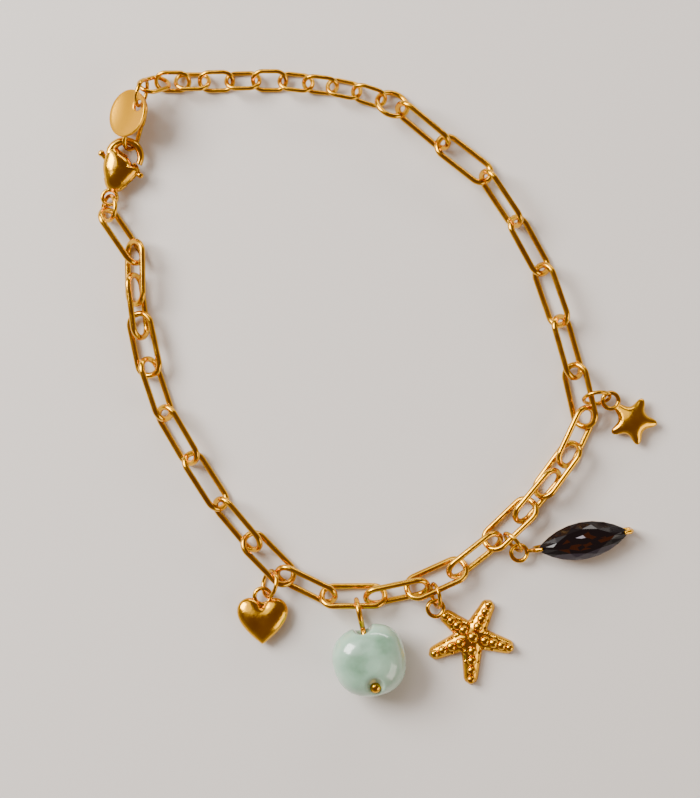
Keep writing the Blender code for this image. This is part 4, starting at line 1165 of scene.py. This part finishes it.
def make_tag(gold):
    """A dished round disc with a rounded rim and a round hole near its edge."""
    bm = bmesh.new()
    hole = Vector((*TAG_HOLE, 0.0))
    rings = []
    for share, bulge, height in tag_sections():
        ring = []
        for k in range(TAG_SIDES):
            turn = 2 * math.pi * k / TAG_SIDES
            ray = Vector((math.cos(turn), math.sin(turn), 0.0))
            inner = hole + ray * (TAG_HOLE_RADIUS + TAG_EDGE)
            outer = ray * (TAG_RADIUS - TAG_EDGE)
            spot = inner.lerp(outer, share) + ray * (bulge if share > 0.5 else -bulge)
            dome = TAG_DOME * (1.0 - (spot.length / TAG_RADIUS) ** 2)
            ring.append(bm.verts.new((spot.x, spot.y, height + dome)))
        rings.append(ring)
    for first, second in zip(rings, rings[1:] + rings[:1]):
        for k in range(TAG_SIDES):
            m = (k + 1) % TAG_SIDES
            bm.faces.new((first[k], first[m], second[m], second[k]))
    bmesh.ops.recalc_face_normals(bm, faces=bm.faces)
    mesh = as_mesh(bm, "tag")
    turned = Matrix.Rotation(TAG_TURN, 4, "Z") @ Matrix.Rotation(TAG_TILT, 4, "Y")
    mesh.transform(Matrix.Translation(TAG_MIDDLE) @ turned)
    piece("tag_disc_plate", mesh, gold, ["tag_disc"])


def make_hook():
    """The hook's arc, thick where it leaves the body and thin at its tip."""
    path = arc_path(Vector((0.0, HOOK_MIDDLE_Y, 0.0)), HOOK_RADIUS, *HOOK_SWEEP, HOOK_STEPS)
    sizes = []
    for i in range(HOOK_STEPS + 1):
        share = i / HOOK_STEPS
        half_width = HOOK_HALF_WIDTH - HOOK_THINNING * share
        half_height = HOOK_HALF_HEIGHT - HOOK_LOWERING * share
        sizes.append((half_width * MM, half_height * MM))
    return swept(path, sizes, UP)


def make_clasp(gold):
    """The cast body with its hook, nub and tail ring, its groove and the lever's slot."""
    face = [tuple(point) for point in rounded_off(in_mm(CLASP_FACE), CLASP_FACE_ROUNDS)]
    body = puffed(face, CLASP_MIDDLE, CLASP_HALF_THICKNESS, CLASP_LEVELS, fullness=CLASP_FULLNESS)
    tail_path = arc_path(Vector((0.0, TAIL_Y, 0.0)), TAIL_RADIUS, *TAIL_SWEEP, TAIL_STEPS)
    tail = swept(tail_path, [TAIL_SIZE] * len(tail_path), UP, closed=True)
    nub = ball(NUB_PLACE, NUB_RADII)
    whole = cast("clasp", [body, make_hook(), tail, nub], *CLASP_CAST)
    groove = in_mm(CLASP_GROOVE)
    whole = carved(whole, swept(groove, [GROOVE_SIZE] * len(groove), UP, sides=GROOVE_SIDES))
    slot = [(x * MM, y * MM) for x, y in CLASP_SLOT]
    whole = carved(whole, slab(slot, -SLOT_HALF_HEIGHT, SLOT_HALF_HEIGHT))
    piece("clasp_casting", whole, gold, ["clasp_body"], CLASP_PLACE)


def make_lever(gold):
    """The clasp's lever: gate, spoke and hub in the slot, and the thumb piece outside."""
    middle = Vector((0.0, 0.0, 0.0))
    flat = LEVER_HALF_HEIGHT
    gate = arc_path(middle, LEVER_REACH * GATE_SHARE, *GATE_SWEEP, GATE_STEPS)
    reach = Vector((math.cos(SPOKE_TURN), math.sin(SPOKE_TURN), 0.0)) * LEVER_REACH * SPOKE_SHARE
    spoke = [middle, middle.lerp(reach, 0.5), reach]
    thumb = Vector((math.cos(THUMB_ANGLE), math.sin(THUMB_ANGLE), 0.0)) * THUMB_REACH
    meshes = [
        swept(gate, [(GATE_HALF_WIDTH, flat)] * len(gate), UP),
        swept(spoke, [(SPOKE_HALF_WIDTH, flat)] * len(spoke), UP),
        swept([middle, thumb * 0.5, thumb], [(width, flat) for width in THUMB_HALF_WIDTHS], UP),
        ball(middle, (LEVER_HUB_RADIUS, LEVER_HUB_RADIUS, flat)),
        ball(thumb, THUMB_BALL),
    ]
    lever = cast("lever", meshes, *LEVER_CAST)
    piece("clasp_lever_casting", lever, gold, ["clasp_lever"],
          PIVOT_PLACE, body="lever")


def make_floor():
    """A plain pale floor."""
    material, _, shader = new_material("pale_floor", (0.74, 0.71, 0.69), 0.8)
    shader.inputs["Specular IOR Level"].default_value = 0.2
    bm = bmesh.new()
    bmesh.ops.create_grid(bm, x_segments=1, y_segments=1, size=FLOOR_HALF_SIZE)
    mesh = as_mesh(bm, "floor")
    floor = scene_object("floor", mesh)
    mesh.materials.append(material)


def make_light(name, place, size, power, colour):
    """An area light that faces the middle of the bracelet."""
    data = bpy.data.lights.new(name, "AREA")
    data.shape = "RECTANGLE"
    data.size, data.size_y = size
    data.energy = power
    data.color = colour
    light = scene_object(name, data)
    light.location = place
    light.rotation_euler = (-Vector(place)).to_track_quat("-Z", "Y").to_euler()


def make_room():
    """A dim warm room: pale near the horizon, brown overhead."""
    world = bpy.data.worlds.new("room")
    bpy.context.scene.world = world
    world.use_nodes = True
    tree = world.node_tree
    backdrop = tree.nodes["Background"]
    direction = tree.nodes.new("ShaderNodeTexCoord")
    split = tree.nodes.new("ShaderNodeSeparateXYZ")
    tree.links.new(direction.outputs["Generated"], split.inputs["Vector"])
    tree.links.new(ramp(tree, split.outputs["Z"], ROOM_SHADES), backdrop.inputs["Color"])
    backdrop.inputs["Strength"].default_value = ROOM_STRENGTH


def make_studio():
    """A window light from the left, a weak fill, a strip behind, and soft light from above."""
    for light in LIGHTS:
        make_light(*light)
    sky = bpy.data.lights.new("skylight", "SUN")
    sky.energy = SKYLIGHT_STRENGTH
    sky.angle = SKYLIGHT_ANGLE
    scene_object("skylight", sky).rotation_euler = SKYLIGHT_TURN
    make_room()


def make_camera():
    """The camera looks straight down, as in the photo."""
    data = bpy.data.cameras.new("camera")
    data.lens = LENS
    data.sensor_width = SENSOR
    data.clip_start = 0.01
    camera = scene_object("camera", data)
    distance = FRAME_TALL * LENS / SENSOR
    camera.location = (*FRAME_CENTRE, distance + FOCUS_HEIGHT)
    bpy.context.scene.camera = camera


def main():
    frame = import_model()
    nodes = frame["nodes"]
    gold = polished_gold()
    loops = wire_loop_tree()
    make_chain(nodes, loops, gold)
    make_heart(loops, gold)
    make_star(loops, gold)
    make_starfish(loops, knob_tree(), gold)
    make_nugget(green_stone())
    make_headpin(loops, gold)
    make_marquise(dark_stone())
    make_setting(loops, gold)
    make_tag(satin_gold())
    make_clasp(gold)
    make_lever(gold)
    make_floor()
    make_studio()
    make_camera()


main()
